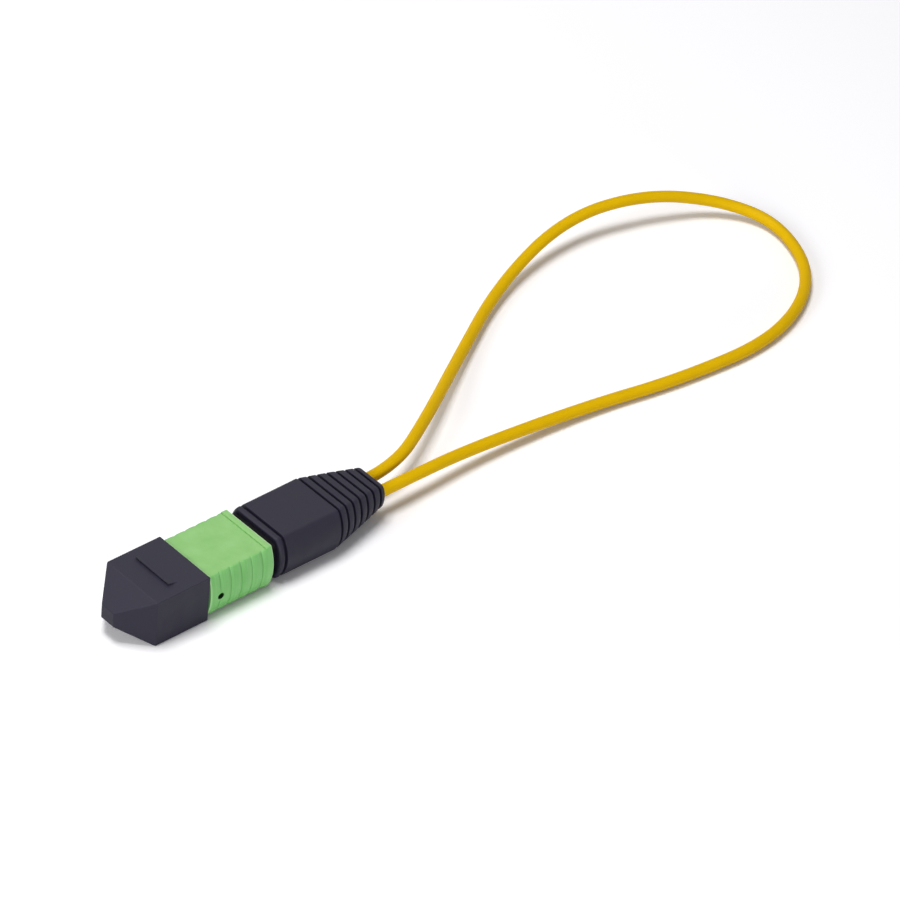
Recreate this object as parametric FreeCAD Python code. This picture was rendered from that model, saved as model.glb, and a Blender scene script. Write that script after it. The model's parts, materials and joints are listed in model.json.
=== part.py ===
import FreeCAD, Part
import math
import os

from FreeCAD import Vector

# A loopback plug for a twelve-fibre push-on port. One cable leaves the boot, goes round and comes back
# into it, so that the light sent on six fibres returns on the other six.
#
# Millimetres. X runs along the plug, from the nose of the dust cap at -X to the cable at +X. Z is up,
# the side with the key. The origin is the middle of the plug's length, on the surface that it lies on.
# Right is +Y, as for someone who holds the boot and looks towards the nose.

# Dust cap
CAP_WIDTH = 12.1
CAP_HEIGHT = 8.4
CAP_BODY_LENGTH = 10.25
CAP_NOSE_LENGTH = 4.55
CAP_TIP_WIDTH = 2.9
CAP_TIP_HEIGHT = 2.6
CAP_EDGE_CHAMFER = 0.12
CAP_SOCKET_DEPTH = 9.9
CAP_POCKET_END_WIDTH = 1.2
CAP_POCKET_END_HEIGHT = 1.0
CAP_TIP_WALL = 1.6
CAP_CLEARANCE = 0.1
GRIP_WIDTH = 7.3
GRIP_HEIGHT = 0.45
GRIP_LENGTH = 2.0
GRIP_SETBACK = 6.35

# Coupling sleeve
SLEEVE_LENGTH = 12.45
SLEEVE_WIDTH = 12.4
SLEEVE_HEIGHT = 7.45
SLEEVE_SIDE_RADIUS = 11.0
SLEEVE_CLEARANCE = 0.15
CAP_TO_SLEEVE = 0.15
RIB_COUNT = 4
RIB_BULGE = 0.18
RIB_SETBACK = 2.05
RIB_TO_RIM = 1.0
RIM_LENGTH = 1.1
RIM_HEIGHT = 7.9
RIM_FLAT = 10.4
SLEEVE_HOLE_DIAMETER = 1.0
SLEEVE_HOLE_SETBACK = 2.0
SLEEVE_TRAVEL = 1.1
LUG_LENGTH = 1.2
LUG_HEIGHT = 1.3
LUG_SETBACK = 4.0

# Inner housing
HOUSING_WIDTH = 9.6
HOUSING_HEIGHT = 6.1
HOUSING_REACH = 5.6
HOUSING_CHAMFER = 0.4
KEY_WIDTH = 3.0
KEY_HEIGHT = 0.55
KEY_LENGTH = 4.0
KEY_SETBACK = 1.0
NOTCH_SETBACK = 2.6
NOTCH_LENGTH = 2.4
NOTCH_DEPTH = 0.9
NOTCH_HEIGHT = 3.6
CAVITY_WIDTH = 7.5
CAVITY_HEIGHT = 4.3
SPRING_STOP_THICKNESS = 0.8

# Ferrule and what moves with it
FERRULE_WIDTH = 6.4
FERRULE_HEIGHT = 2.5
FERRULE_LENGTH = 8.0
FERRULE_REACH = 0.5
FERRULE_CLEARANCE = 0.1
FERRULE_TRAVEL = 1.0
FLANGE_WIDTH = 7.2
FLANGE_HEIGHT = 3.2
FLANGE_LENGTH = 2.0
FACE_ANGLE = 8.0
PIN_HOLE_DIAMETER = 0.7
PIN_HOLE_PITCH = 4.6
FIBRE_COUNT = 12
FIBRE_PITCH = 0.25
GLASS_DIAMETER = 0.125
GLASS_BORE_LENGTH = 3.2
TAIL_WIDTH = 3.6
TAIL_HEIGHT = 1.4
WINDOW_WIDTH = 3.2
WINDOW_LENGTH = 1.8
KEEPER_WIDTH = 7.0
KEEPER_HEIGHT = 3.2
KEEPER_LENGTH = 2.4
KEEPER_HOLE_DIAMETER = 0.9
FERRULE_BOOT_GRIP = 2.2
FERRULE_BOOT_TAIL = 0.8
FERRULE_BOOT_CLEARANCE = 0.05
COATING_THICKNESS = 0.25

# Springs
FERRULE_SPRING_WIDTH = 6.2
FERRULE_SPRING_HEIGHT = 3.0
FERRULE_SPRING_WIRE = 0.45
FERRULE_SPRING_TURNS = 5.5
COUPLING_SPRING_DIAMETER = 1.2
COUPLING_SPRING_WIRE = 0.22
COUPLING_SPRING_TURNS = 7
COUPLING_SPRING_CLEARANCE = 0.1
COIL_STEPS = 10

# Spring push and crimp
PUSH_SEAT_LENGTH = 2.3
PUSH_CLEARANCE = 0.1
PUSH_FLANGE_LENGTH = 1.0
PUSH_SLOT_WIDTH = 4.6
PUSH_SLOT_HEIGHT = 1.8
ARM_CLEARANCE = 1.6
ARM_THICKNESS = 0.45
ARM_WIDTH = 4.0
BARB_LENGTH = 1.4
BARB_HEIGHT = 0.5
CRIMP_BARREL_DIAMETER = 4.6
CRIMP_BARREL_BORE = 3.4
CRIMP_BARREL_LENGTH = 7.2
CRIMP_GROOVE_COUNT = 2
CRIMP_GROOVE_WIDTH = 0.4
CRIMP_GROOVE_DEPTH = 0.15
ARAMID_THICKNESS = 0.15
ARAMID_CLEARANCE = 0.02
CRIMP_RING_WALL = 0.38
CRIMP_RING_LENGTH = 6.2
CRIMP_RING_FLATS = 5.3
CRIMP_RING_PLAIN_END = 0.7

# Boot
NECK_CLEARANCE = 0.2
BOOT_LENGTH = 23.75
BOOT_WIDTH = 12.4
BOOT_HEIGHT = 7.9
BOOT_FLAT = 9.7
BOOT_TAPER_SETBACK = 12.35
TAIL_MIDDLE_SETBACK = 17.9
TAIL_MIDDLE_WIDTH = 9.7
TAIL_MIDDLE_HEIGHT = 6.4
TAIL_MIDDLE_FLAT = 7.7
BOOT_END_WIDTH = 6.9
BOOT_END_HEIGHT = 4.3
BOOT_END_FLAT = 5.7
BOOT_END_CHAMFER = 0.3
COLLAR_LENGTH = 0.9
COLLAR_GROOVE_WIDTH = 0.4
COLLAR_GROOVE_DEPTH = 0.55
TAIL_GROOVE_COUNT = 7
TAIL_GROOVE_PITCH = 1.67
TAIL_GROOVE_WIDTH = 0.42
TAIL_GROOVE_DEPTH = 0.45
BOOT_CLEARANCE = 0.1

# Cable
CABLE_DIAMETER = 2.0
CABLE_SIDES = 12
CABLE_EXIT_PITCH = 3.6
CABLE_CLEARANCE = 0.05
CABLE_BACK_FROM_BARREL = 2.5
CABLE_STRAIGHT = 6.8
ARC_SHARE = 0.45
CABLE_ROUTE = [
    (43.0, 6.6, 4.2),
    (60.7, 18.2, 2.0),
    (80.9, 30.1, 1.6),
    (99.2, 34.4, 4.9),
    (114.6, 31.3, 5.6),
    (127.7, 25.1, 2.6),
    (132.7, 15.1, 1.3),
    (126.0, 0.6, 1.2),
    (109.4, -7.3, 1.2),
    (88.1, -5.9, 1.2),
    (70.2, -2.4, 1.4),
    (47.0, -0.9, 2.8),
]

# Stations along X, from the nose to the cable
NECK_LENGTH = SLEEVE_TRAVEL + NECK_CLEARANCE
PLUG_LENGTH = (CAP_NOSE_LENGTH + CAP_BODY_LENGTH + CAP_TO_SLEEVE + SLEEVE_LENGTH
               + NECK_LENGTH + BOOT_LENGTH)
NOSE = -PLUG_LENGTH / 2
CAP_SHOULDER = NOSE + CAP_NOSE_LENGTH
CAP_MOUTH = CAP_SHOULDER + CAP_BODY_LENGTH
SLEEVE_FRONT = CAP_MOUTH + CAP_TO_SLEEVE
SLEEVE_REAR = SLEEVE_FRONT + SLEEVE_LENGTH
RIB_PITCH = (SLEEVE_LENGTH - RIB_SETBACK - RIB_TO_RIM - RIM_LENGTH) / RIB_COUNT
BOOT_FRONT = SLEEVE_REAR + NECK_LENGTH
BOOT_REAR = BOOT_FRONT + BOOT_LENGTH
HOUSING_FRONT = SLEEVE_FRONT - HOUSING_REACH
HOUSING_REAR = BOOT_FRONT - PUSH_FLANGE_LENGTH
FERRULE_FACE = HOUSING_FRONT - FERRULE_REACH
FERRULE_REAR = FERRULE_FACE + FERRULE_LENGTH
FERRULE_STOP = FERRULE_REAR - FLANGE_LENGTH
KEEPER_REAR = FERRULE_REAR + KEEPER_LENGTH
PUSH_FRONT = HOUSING_REAR - PUSH_SEAT_LENGTH
ARM_FRONT = KEEPER_REAR + FERRULE_TRAVEL + ARM_CLEARANCE
BARREL_REAR = BOOT_FRONT + CRIMP_BARREL_LENGTH
CABLE_END = BARREL_REAR + CABLE_BACK_FROM_BARREL

# Heights and distances from the axis
AXIS_Z = CAP_HEIGHT / 2
SPRING_OFFSET = HOUSING_WIDTH / 2 + SLEEVE_CLEARANCE
CHANNEL_HALF_HEIGHT = COUPLING_SPRING_DIAMETER / 2 + COUPLING_SPRING_CLEARANCE
CHANNEL_FLOOR = SPRING_OFFSET - CHANNEL_HALF_HEIGHT
CHANNEL_ROOF = SPRING_OFFSET + CHANNEL_HALF_HEIGHT
ARM_TOP = CAVITY_HEIGHT / 2 - PUSH_CLEARANCE
EXIT_OFFSET = CABLE_EXIT_PITCH / 2
FACE_SLOPE = math.tan(math.radians(FACE_ANGLE))

LEFT = -1
RIGHT = 1
ALONG = Vector(1, 0, 0)


def block(x0, x1, y0, y1, low, high):
    """A box between two stations and two sides; low and high are measured from the plug's axis."""
    return Part.makeBox(x1 - x0, y1 - y0, high - low, Vector(x0, y0, AXIS_Z + low))


def centred_block(x0, x1, width, height):
    """A box about the plug's axis."""
    return block(x0, x1, -width / 2, width / 2, -height / 2, height / 2)


def rod(x0, x1, diameter, offset=0.0):
    """A round bar along the plug, offset to the right."""
    return Part.makeCylinder(diameter / 2, x1 - x0, Vector(x0, offset, AXIS_Z), ALONG)


def side_block(side, x0, x1, near, far, half_height):
    """A box on one side of the axis, from near to far out along Y."""
    low_y = min(side * near, side * far)
    high_y = max(side * near, side * far)
    return block(x0, x1, low_y, high_y, -half_height, half_height)


def rectangle(x, width, height, offset=0.0):
    """A rectangular outline across the plug at one station."""
    corners = []
    for y, z in ((-1, -1), (1, -1), (1, 1), (-1, 1)):
        corners.append(Vector(x, offset + y * width / 2, AXIS_Z + z * height / 2))
    corners.append(corners[0])
    return Part.makePolygon(corners)


def polygon_outline(centre, diameter, sides):
    """An even-sided outline across the plug, its corners on a circle."""
    corners = []
    for corner in range(sides + 1):
        angle = 2 * math.pi * corner / sides
        corners.append(centre + Vector(0, math.cos(angle), math.sin(angle)) * (diameter / 2))
    return Part.makePolygon(corners)


def extruded(corners, direction):
    """A solid drawn as a polygon and pushed out along one direction."""
    return Part.Face(Part.makePolygon(corners + corners[:1])).extrude(direction)


def frustum(x0, width0, height0, x1, width1, height1):
    """Four flat sides between two rectangles about the axis, from a side view and a top view."""
    reach_y = max(width0, width1)
    reach_z = max(height0, height1)
    side_view = [
        Vector(x0, -reach_y, AXIS_Z - height0 / 2),
        Vector(x1, -reach_y, AXIS_Z - height1 / 2),
        Vector(x1, -reach_y, AXIS_Z + height1 / 2),
        Vector(x0, -reach_y, AXIS_Z + height0 / 2),
    ]
    top_view = [
        Vector(x0, -width0 / 2, AXIS_Z - reach_z),
        Vector(x1, -width1 / 2, AXIS_Z - reach_z),
        Vector(x1, width1 / 2, AXIS_Z - reach_z),
        Vector(x0, width0 / 2, AXIS_Z - reach_z),
    ]
    from_side = extruded(side_view, Vector(0, 2 * reach_y, 0))
    from_top = extruded(top_view, Vector(0, 0, 2 * reach_z))
    return from_side.common(from_top)


def barrel_outline(x, width, height, flat):
    """An outline with a flat top and bottom and sides that bulge out to the full width."""
    half = flat / 2
    top = AXIS_Z + height / 2
    bottom = AXIS_Z - height / 2
    edges = [
        Part.LineSegment(Vector(x, -half, top), Vector(x, half, top)).toShape(),
        Part.Arc(Vector(x, half, top), Vector(x, width / 2, AXIS_Z), Vector(x, half, bottom)).toShape(),
        Part.LineSegment(Vector(x, half, bottom), Vector(x, -half, bottom)).toShape(),
        Part.Arc(Vector(x, -half, bottom), Vector(x, -width / 2, AXIS_Z), Vector(x, -half, top)).toShape(),
    ]
    return Part.Wire(edges)


def loft(outlines):
    """A solid with straight walls from each outline to the next."""
    return Part.makeLoft(outlines, True, True)


def edges_at(solid, x):
    """The edges of a solid that lie in the plane across the plug at one station."""
    found = []
    for edge in solid.Edges:
        if all(abs(vertex.X - x) < 1e-6 for vertex in edge.Vertexes):
            found.append(edge)
    return found


def dust_cap():
    """The cap: a square tube that ends in a pyramid with a blunt tip, and a step on top to pull it by."""
    nose = frustum(NOSE, CAP_TIP_WIDTH, CAP_TIP_HEIGHT, CAP_SHOULDER, CAP_WIDTH, CAP_HEIGHT)
    body = centred_block(CAP_SHOULDER, CAP_MOUTH, CAP_WIDTH, CAP_HEIGHT)
    outside = body.fuse(nose).removeSplitter()
    mouth_edges = edges_at(outside, CAP_MOUTH)
    edges = [edge for edge in outside.Edges if not any(edge.isSame(other) for other in mouth_edges)]
    outside = outside.makeChamfer(CAP_EDGE_CHAMFER, edges)

    step_front = CAP_MOUTH - GRIP_SETBACK
    roof = AXIS_Z + CAP_HEIGHT / 2
    step_side = [
        Vector(step_front, -GRIP_WIDTH / 2, roof - GRIP_HEIGHT),
        Vector(step_front, -GRIP_WIDTH / 2, roof + GRIP_HEIGHT),
        Vector(step_front + GRIP_LENGTH, -GRIP_WIDTH / 2, roof),
        Vector(step_front + GRIP_LENGTH, -GRIP_WIDTH / 2, roof - GRIP_HEIGHT),
    ]
    step = extruded(step_side, Vector(0, GRIP_WIDTH, 0))

    socket_end = CAP_MOUTH - CAP_SOCKET_DEPTH
    socket_width = HOUSING_WIDTH + 2 * CAP_CLEARANCE
    socket_height = HOUSING_HEIGHT + 2 * CAP_CLEARANCE
    socket = centred_block(socket_end, CAP_MOUTH, socket_width, socket_height)
    pocket_end = NOSE + CAP_TIP_WALL
    pocket = frustum(
        pocket_end, CAP_POCKET_END_WIDTH, CAP_POCKET_END_HEIGHT, socket_end, socket_width, socket_height
    )
    key_half = KEY_WIDTH / 2 + CAP_CLEARANCE
    key_top = HOUSING_HEIGHT / 2 + KEY_HEIGHT + CAP_CLEARANCE
    key_slot = block(HOUSING_FRONT, CAP_MOUTH, -key_half, key_half, 0, key_top)
    return outside.fuse(step).removeSplitter().cut(socket.fuse([pocket, key_slot]))


def straight(start, end):
    """A straight edge."""
    return Part.LineSegment(start, end).toShape()


def sleeve_side(side):
    """One bulging side of the coupling sleeve, with ribs across it, turned about an axis far behind it."""
    centre_y = SLEEVE_WIDTH / 2 - SLEEVE_SIDE_RADIUS
    valley_y = SLEEVE_WIDTH / 2 - RIB_BULGE
    ribs_front = SLEEVE_FRONT + RIB_SETBACK
    ribs_rear = ribs_front + RIB_COUNT * RIB_PITCH
    front_centre = Vector(SLEEVE_FRONT, centre_y, AXIS_Z)
    rear_centre = Vector(SLEEVE_REAR, centre_y, AXIS_Z)
    front_valley = Vector(SLEEVE_FRONT, valley_y, AXIS_Z)
    rear_valley = Vector(SLEEVE_REAR, valley_y, AXIS_Z)
    outline = [
        straight(front_centre, front_valley),
        straight(front_valley, Vector(ribs_front, valley_y, AXIS_Z)),
    ]
    for number in range(RIB_COUNT):
        start = ribs_front + number * RIB_PITCH
        crest = Vector(start + RIB_PITCH / 2, SLEEVE_WIDTH / 2, AXIS_Z)
        end = Vector(start + RIB_PITCH, valley_y, AXIS_Z)
        outline.append(Part.Arc(Vector(start, valley_y, AXIS_Z), crest, end).toShape())
    outline += [
        straight(Vector(ribs_rear, valley_y, AXIS_Z), rear_valley),
        straight(rear_valley, rear_centre),
        straight(rear_centre, front_centre),
    ]
    profile = Part.Face(Part.Wire(outline))
    profile.rotate(front_centre, ALONG, -90)
    turned = profile.revolve(front_centre, ALONG, 180)
    flat = SLEEVE_HEIGHT / 2
    half = turned.common(block(SLEEVE_FRONT, SLEEVE_REAR, 0, SLEEVE_WIDTH, -flat, flat))
    if side == LEFT:
        half = half.mirror(Vector(0, 0, AXIS_Z), Vector(0, 1, 0))
    return half


def coupling_sleeve():
    """The green sleeve: ribbed sides, a raised rim at the back, and lugs inside for the springs."""
    rim = loft([
        barrel_outline(SLEEVE_REAR - RIM_LENGTH, SLEEVE_WIDTH, RIM_HEIGHT, RIM_FLAT),
        barrel_outline(SLEEVE_REAR, SLEEVE_WIDTH, RIM_HEIGHT, RIM_FLAT),
    ])
    outside = sleeve_side(RIGHT).fuse([sleeve_side(LEFT), rim]).removeSplitter()
    bore_width = HOUSING_WIDTH + 2 * SLEEVE_CLEARANCE
    bore_height = HOUSING_HEIGHT + 2 * SLEEVE_CLEARANCE
    bore = centred_block(SLEEVE_FRONT, SLEEVE_REAR, bore_width, bore_height)
    lug_front = SLEEVE_FRONT + LUG_SETBACK
    lug_rear = lug_front + LUG_LENGTH
    grooves = []
    lugs = []
    for side in (LEFT, RIGHT):
        grooves.append(side_block(side, lug_rear, SLEEVE_REAR, 0, CHANNEL_ROOF, CHANNEL_HALF_HEIGHT))
        lug_tip = CHANNEL_FLOOR + COUPLING_SPRING_CLEARANCE
        lugs.append(side_block(side, lug_front, lug_rear, lug_tip, bore_width / 2, LUG_HEIGHT / 2))
    hole_x = SLEEVE_FRONT + SLEEVE_HOLE_SETBACK
    hole = Part.makeCylinder(
        SLEEVE_HOLE_DIAMETER / 2, SLEEVE_WIDTH / 2, Vector(hole_x, -SLEEVE_WIDTH / 2, AXIS_Z), Vector(0, 1, 0)
    )
    return outside.cut(bore.fuse(grooves + [hole])).fuse(lugs).removeSplitter()


def inner_housing():
    """The plug body that goes into a port, with its key, hook notches, spring channels and latch windows."""
    body = centred_block(HOUSING_FRONT, HOUSING_REAR, HOUSING_WIDTH, HOUSING_HEIGHT)
    body = body.makeChamfer(HOUSING_CHAMFER, edges_at(body, HOUSING_FRONT))
    key_front = HOUSING_FRONT + KEY_SETBACK
    key_top = HOUSING_HEIGHT / 2 + KEY_HEIGHT
    key = block(key_front, key_front + KEY_LENGTH, -KEY_WIDTH / 2, KEY_WIDTH / 2, 0, key_top)
    aperture_width = FERRULE_WIDTH + 2 * FERRULE_CLEARANCE
    aperture_height = FERRULE_HEIGHT + 2 * FERRULE_CLEARANCE
    cuts = [
        centred_block(HOUSING_FRONT, FERRULE_STOP, aperture_width, aperture_height),
        centred_block(FERRULE_STOP, HOUSING_REAR, CAVITY_WIDTH, CAVITY_HEIGHT),
    ]
    notch_front = HOUSING_FRONT + NOTCH_SETBACK
    notch_floor = HOUSING_WIDTH / 2 - NOTCH_DEPTH
    channel_front = SLEEVE_FRONT + LUG_SETBACK
    channel_rear = HOUSING_REAR - SPRING_STOP_THICKNESS
    for side in (LEFT, RIGHT):
        cuts.append(side_block(
            side, notch_front, notch_front + NOTCH_LENGTH, notch_floor, HOUSING_WIDTH, NOTCH_HEIGHT / 2
        ))
        cuts.append(side_block(
            side, channel_front, channel_rear, CHANNEL_FLOOR, HOUSING_WIDTH, CHANNEL_HALF_HEIGHT
        ))
    window_half = ARM_WIDTH / 2 + PUSH_CLEARANCE
    window_front = ARM_FRONT - PUSH_CLEARANCE
    window_rear = window_front + BARB_LENGTH + 2 * PUSH_CLEARANCE
    cuts.append(block(window_front, window_rear, -window_half, window_half, -HOUSING_HEIGHT, HOUSING_HEIGHT))
    return body.fuse(key).removeSplitter().cut(cuts[0].fuse(cuts[1:]))


def fine_rod(x0, x1, diameter, offset):
    """An eight-sided bar along the plug, for what is too thin for its corners to matter."""
    outline = polygon_outline(Vector(x0, offset, AXIS_Z), diameter, 8)
    return Part.Face(outline).extrude(Vector(x1 - x0, 0, 0))


def pin_holes(diameter, x0, x1):
    """The two holes for the guide pins of the part that the plug meets."""
    return [rod(x0, x1, diameter, side * PIN_HOLE_PITCH / 2) for side in (LEFT, RIGHT)]


def fibre_offsets():
    """How far each fibre lies to the right of the axis."""
    return [(number - (FIBRE_COUNT - 1) / 2) * FIBRE_PITCH for number in range(FIBRE_COUNT)]


def face_cutter():
    """What the polishing of the slanting end face takes off: all that is ahead of a plane that leans back."""
    reach = FERRULE_HEIGHT
    lean = reach * FACE_SLOPE
    side_view = [
        Vector(HOUSING_FRONT - FERRULE_LENGTH, -FLANGE_WIDTH, AXIS_Z - reach),
        Vector(FERRULE_FACE + lean, -FLANGE_WIDTH, AXIS_Z - reach),
        Vector(FERRULE_FACE - lean, -FLANGE_WIDTH, AXIS_Z + reach),
        Vector(HOUSING_FRONT - FERRULE_LENGTH, -FLANGE_WIDTH, AXIS_Z + reach),
    ]
    return extruded(side_view, Vector(0, 2 * FLANGE_WIDTH, 0))


def ferrule():
    """The moulded block that holds the fibres: guide holes, fibre bores, a tail opening and a window."""
    blank_front = FERRULE_FACE - FERRULE_HEIGHT * FACE_SLOPE
    body = centred_block(blank_front, FERRULE_REAR, FERRULE_WIDTH, FERRULE_HEIGHT)
    flange = centred_block(FERRULE_STOP, FERRULE_REAR, FLANGE_WIDTH, FLANGE_HEIGHT)
    tail_front = FERRULE_FACE + GLASS_BORE_LENGTH
    tail = centred_block(tail_front, FERRULE_REAR, TAIL_WIDTH, TAIL_HEIGHT)
    window = block(
        tail_front, tail_front + WINDOW_LENGTH, -WINDOW_WIDTH / 2, WINDOW_WIDTH / 2, 0, FERRULE_HEIGHT
    )
    cuts = [tail, window, face_cutter()]
    cuts += pin_holes(PIN_HOLE_DIAMETER, blank_front, FERRULE_REAR)
    cuts += [fine_rod(blank_front, tail_front, GLASS_DIAMETER, offset) for offset in fibre_offsets()]
    solid = body.fuse(flange).removeSplitter()
    for cutter in cuts:
        solid = solid.cut(cutter)
    return solid


def glass_fibres():
    """The twelve bare fibres, polished off with the ferrule's end face."""
    tail_front = FERRULE_FACE + GLASS_BORE_LENGTH
    blank_front = FERRULE_FACE - FERRULE_HEIGHT * FACE_SLOPE
    cutter = face_cutter()
    return Part.makeCompound([
        fine_rod(blank_front, tail_front, GLASS_DIAMETER, offset).cut(cutter) for offset in fibre_offsets()
    ])


def adhesive_plug():
    """The hardened adhesive in the ferrule's window, above the fibres."""
    front = FERRULE_FACE + GLASS_BORE_LENGTH
    rear = front + WINDOW_LENGTH
    return block(front, rear, -WINDOW_WIDTH / 2, WINDOW_WIDTH / 2, COATING_THICKNESS, FERRULE_HEIGHT / 2)


def fibre_slot(x0, x1):
    """The flat way through which the coated fibres pass."""
    width = FIBRE_COUNT * FIBRE_PITCH + 4 * FERRULE_BOOT_CLEARANCE
    return centred_block(x0, x1, width, COATING_THICKNESS + 2 * FERRULE_BOOT_CLEARANCE)


def ferrule_boot():
    """The soft block in the ferrule's tail that keeps the fibres from bending sharply."""
    front = FERRULE_REAR - FERRULE_BOOT_GRIP
    rear = KEEPER_REAR + FERRULE_BOOT_TAIL
    width = TAIL_WIDTH - 2 * FERRULE_BOOT_CLEARANCE
    height = TAIL_HEIGHT - 2 * FERRULE_BOOT_CLEARANCE
    return centred_block(front, rear, width, height).cut(fibre_slot(front, rear))


def pin_keeper():
    """The spacer behind the ferrule, which the spring pushes on."""
    solid = centred_block(FERRULE_REAR, KEEPER_REAR, KEEPER_WIDTH, KEEPER_HEIGHT)
    cuts = [centred_block(FERRULE_REAR, KEEPER_REAR, TAIL_WIDTH, TAIL_HEIGHT)]
    cuts += pin_holes(KEEPER_HOLE_DIAMETER, FERRULE_REAR, KEEPER_REAR)
    return solid.cut(cuts[0].fuse(cuts[1:]))


def coil(x0, x1, width, height, wire, turns, offset=0.0):
    """An oval coil spring that just fits between two stations, its wire drawn with six flat sides."""
    half_width = (width - wire) / 2
    half_height = (height - wire) / 2
    steps = round(COIL_STEPS * turns)
    travel = x1 - x0 - wire
    outlines = []
    for step in range(steps + 1):
        angle = 2 * math.pi * turns * step / steps
        x = x0 + wire / 2 + travel * step / steps
        centre = Vector(x, offset + half_width * math.cos(angle), AXIS_Z + half_height * math.sin(angle))
        outward = Vector(0, half_height * math.cos(angle), half_width * math.sin(angle))
        outward.normalize()
        corners = []
        for corner in range(7):
            lean = math.radians(60 * corner)
            corners.append(centre + (outward * math.cos(lean) + ALONG * math.sin(lean)) * (wire / 2))
        outlines.append(Part.makePolygon(corners))
    return loft(outlines)


def ferrule_spring():
    """The oval spring between the spring push and the pin keeper."""
    return coil(
        KEEPER_REAR, PUSH_FRONT, FERRULE_SPRING_WIDTH, FERRULE_SPRING_HEIGHT, FERRULE_SPRING_WIRE,
        FERRULE_SPRING_TURNS,
    )


def coupling_spring(side):
    """A small round spring between a lug of the sleeve and the stop at the back of the housing."""
    lug_rear = SLEEVE_FRONT + LUG_SETBACK + LUG_LENGTH
    stop = HOUSING_REAR - SPRING_STOP_THICKNESS
    return coil(
        lug_rear, stop, COUPLING_SPRING_DIAMETER, COUPLING_SPRING_DIAMETER, COUPLING_SPRING_WIRE,
        COUPLING_SPRING_TURNS, side * SPRING_OFFSET,
    )


def latch_arm(up_or_down):
    """One springy arm of the spring push, above or below the fibres, with a barb for the housing's window."""
    barb_rear = ARM_FRONT + BARB_LENGTH
    top = ARM_TOP + BARB_HEIGHT
    outline = [
        (ARM_FRONT, ARM_TOP - ARM_THICKNESS),
        (PUSH_FRONT, ARM_TOP - ARM_THICKNESS),
        (PUSH_FRONT, ARM_TOP),
        (barb_rear, ARM_TOP),
        (barb_rear, top),
        (ARM_FRONT, ARM_TOP),
    ]
    corners = [Vector(x, -ARM_WIDTH / 2, AXIS_Z + up_or_down * height) for x, height in outline]
    return extruded(corners, Vector(0, ARM_WIDTH, 0))


def spring_push():
    """The rear body: a seat that snaps into the housing, a flange for the boot and a barrel to crimp on."""
    seat_width = CAVITY_WIDTH - 2 * PUSH_CLEARANCE
    seat_height = CAVITY_HEIGHT - 2 * PUSH_CLEARANCE
    seat = centred_block(PUSH_FRONT, HOUSING_REAR, seat_width, seat_height)
    flange = centred_block(HOUSING_REAR, BOOT_FRONT, HOUSING_WIDTH, HOUSING_HEIGHT)
    barrel = rod(BOOT_FRONT, BARREL_REAR, CRIMP_BARREL_DIAMETER)
    solid = seat.fuse([flange, barrel, latch_arm(1), latch_arm(-1)]).removeSplitter()
    cuts = [
        centred_block(PUSH_FRONT, HOUSING_REAR, PUSH_SLOT_WIDTH, PUSH_SLOT_HEIGHT),
        rod(HOUSING_REAR, BARREL_REAR, CRIMP_BARREL_BORE),
    ]
    groove_pitch = CRIMP_BARREL_LENGTH / (CRIMP_GROOVE_COUNT + 1)
    groove_floor = CRIMP_BARREL_DIAMETER - 2 * CRIMP_GROOVE_DEPTH
    for number in range(1, CRIMP_GROOVE_COUNT + 1):
        front = BOOT_FRONT + number * groove_pitch - CRIMP_GROOVE_WIDTH / 2
        rear = front + CRIMP_GROOVE_WIDTH
        cuts.append(rod(front, rear, CRIMP_BARREL_DIAMETER + 1).cut(rod(front, rear, groove_floor)))
    return solid.cut(cuts[0].fuse(cuts[1:]))


def crimp_ring_front():
    """The station of the crimp ring's front end: the ring is centred on the barrel."""
    return BOOT_FRONT + (CRIMP_BARREL_LENGTH - CRIMP_RING_LENGTH) / 2


def aramid_diameters():
    """The inner and outer diameter of the layer of yarn under the crimp ring."""
    inner = CRIMP_BARREL_DIAMETER + 2 * ARAMID_CLEARANCE
    return inner, inner + 2 * ARAMID_THICKNESS


def crimp_ring():
    """The metal ring that holds the yarn, pressed to a hexagon between its plain ends."""
    front = crimp_ring_front()
    rear = front + CRIMP_RING_LENGTH
    bore = aramid_diameters()[1] + 2 * ARAMID_CLEARANCE
    outside = rod(front, rear, bore + 2 * CRIMP_RING_WALL)
    across_corners = CRIMP_RING_FLATS / math.cos(math.radians(30))
    hexagon = polygon_outline(Vector(front + CRIMP_RING_PLAIN_END, 0, AXIS_Z), across_corners, 6)
    pressed = Part.Face(hexagon).extrude(Vector(CRIMP_RING_LENGTH - 2 * CRIMP_RING_PLAIN_END, 0, 0))
    waste = rod(front + CRIMP_RING_PLAIN_END, rear - CRIMP_RING_PLAIN_END, 2 * CRIMP_RING_FLATS).cut(pressed)
    return outside.cut(waste).cut(rod(front, rear, bore))


def aramid(side):
    """The yarn of one cable end: half a layer round the barrel, and a strand back to the cable."""
    inner, outer = aramid_diameters()
    front = crimp_ring_front()
    layer = rod(front, BARREL_REAR, outer).cut(rod(front, BARREL_REAR, inner))
    layer = layer.common(side_block(side, front, BARREL_REAR, ARAMID_THICKNESS, outer, outer))
    strand_width = CABLE_DIAMETER / 2
    strand = loft([
        rectangle(BARREL_REAR, ARAMID_THICKNESS, strand_width, side * (inner + ARAMID_THICKNESS) / 2),
        rectangle(CABLE_END, ARAMID_THICKNESS, strand_width, side * (EXIT_OFFSET + CABLE_DIAMETER / 4)),
    ])
    return layer.fuse(strand)


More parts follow.
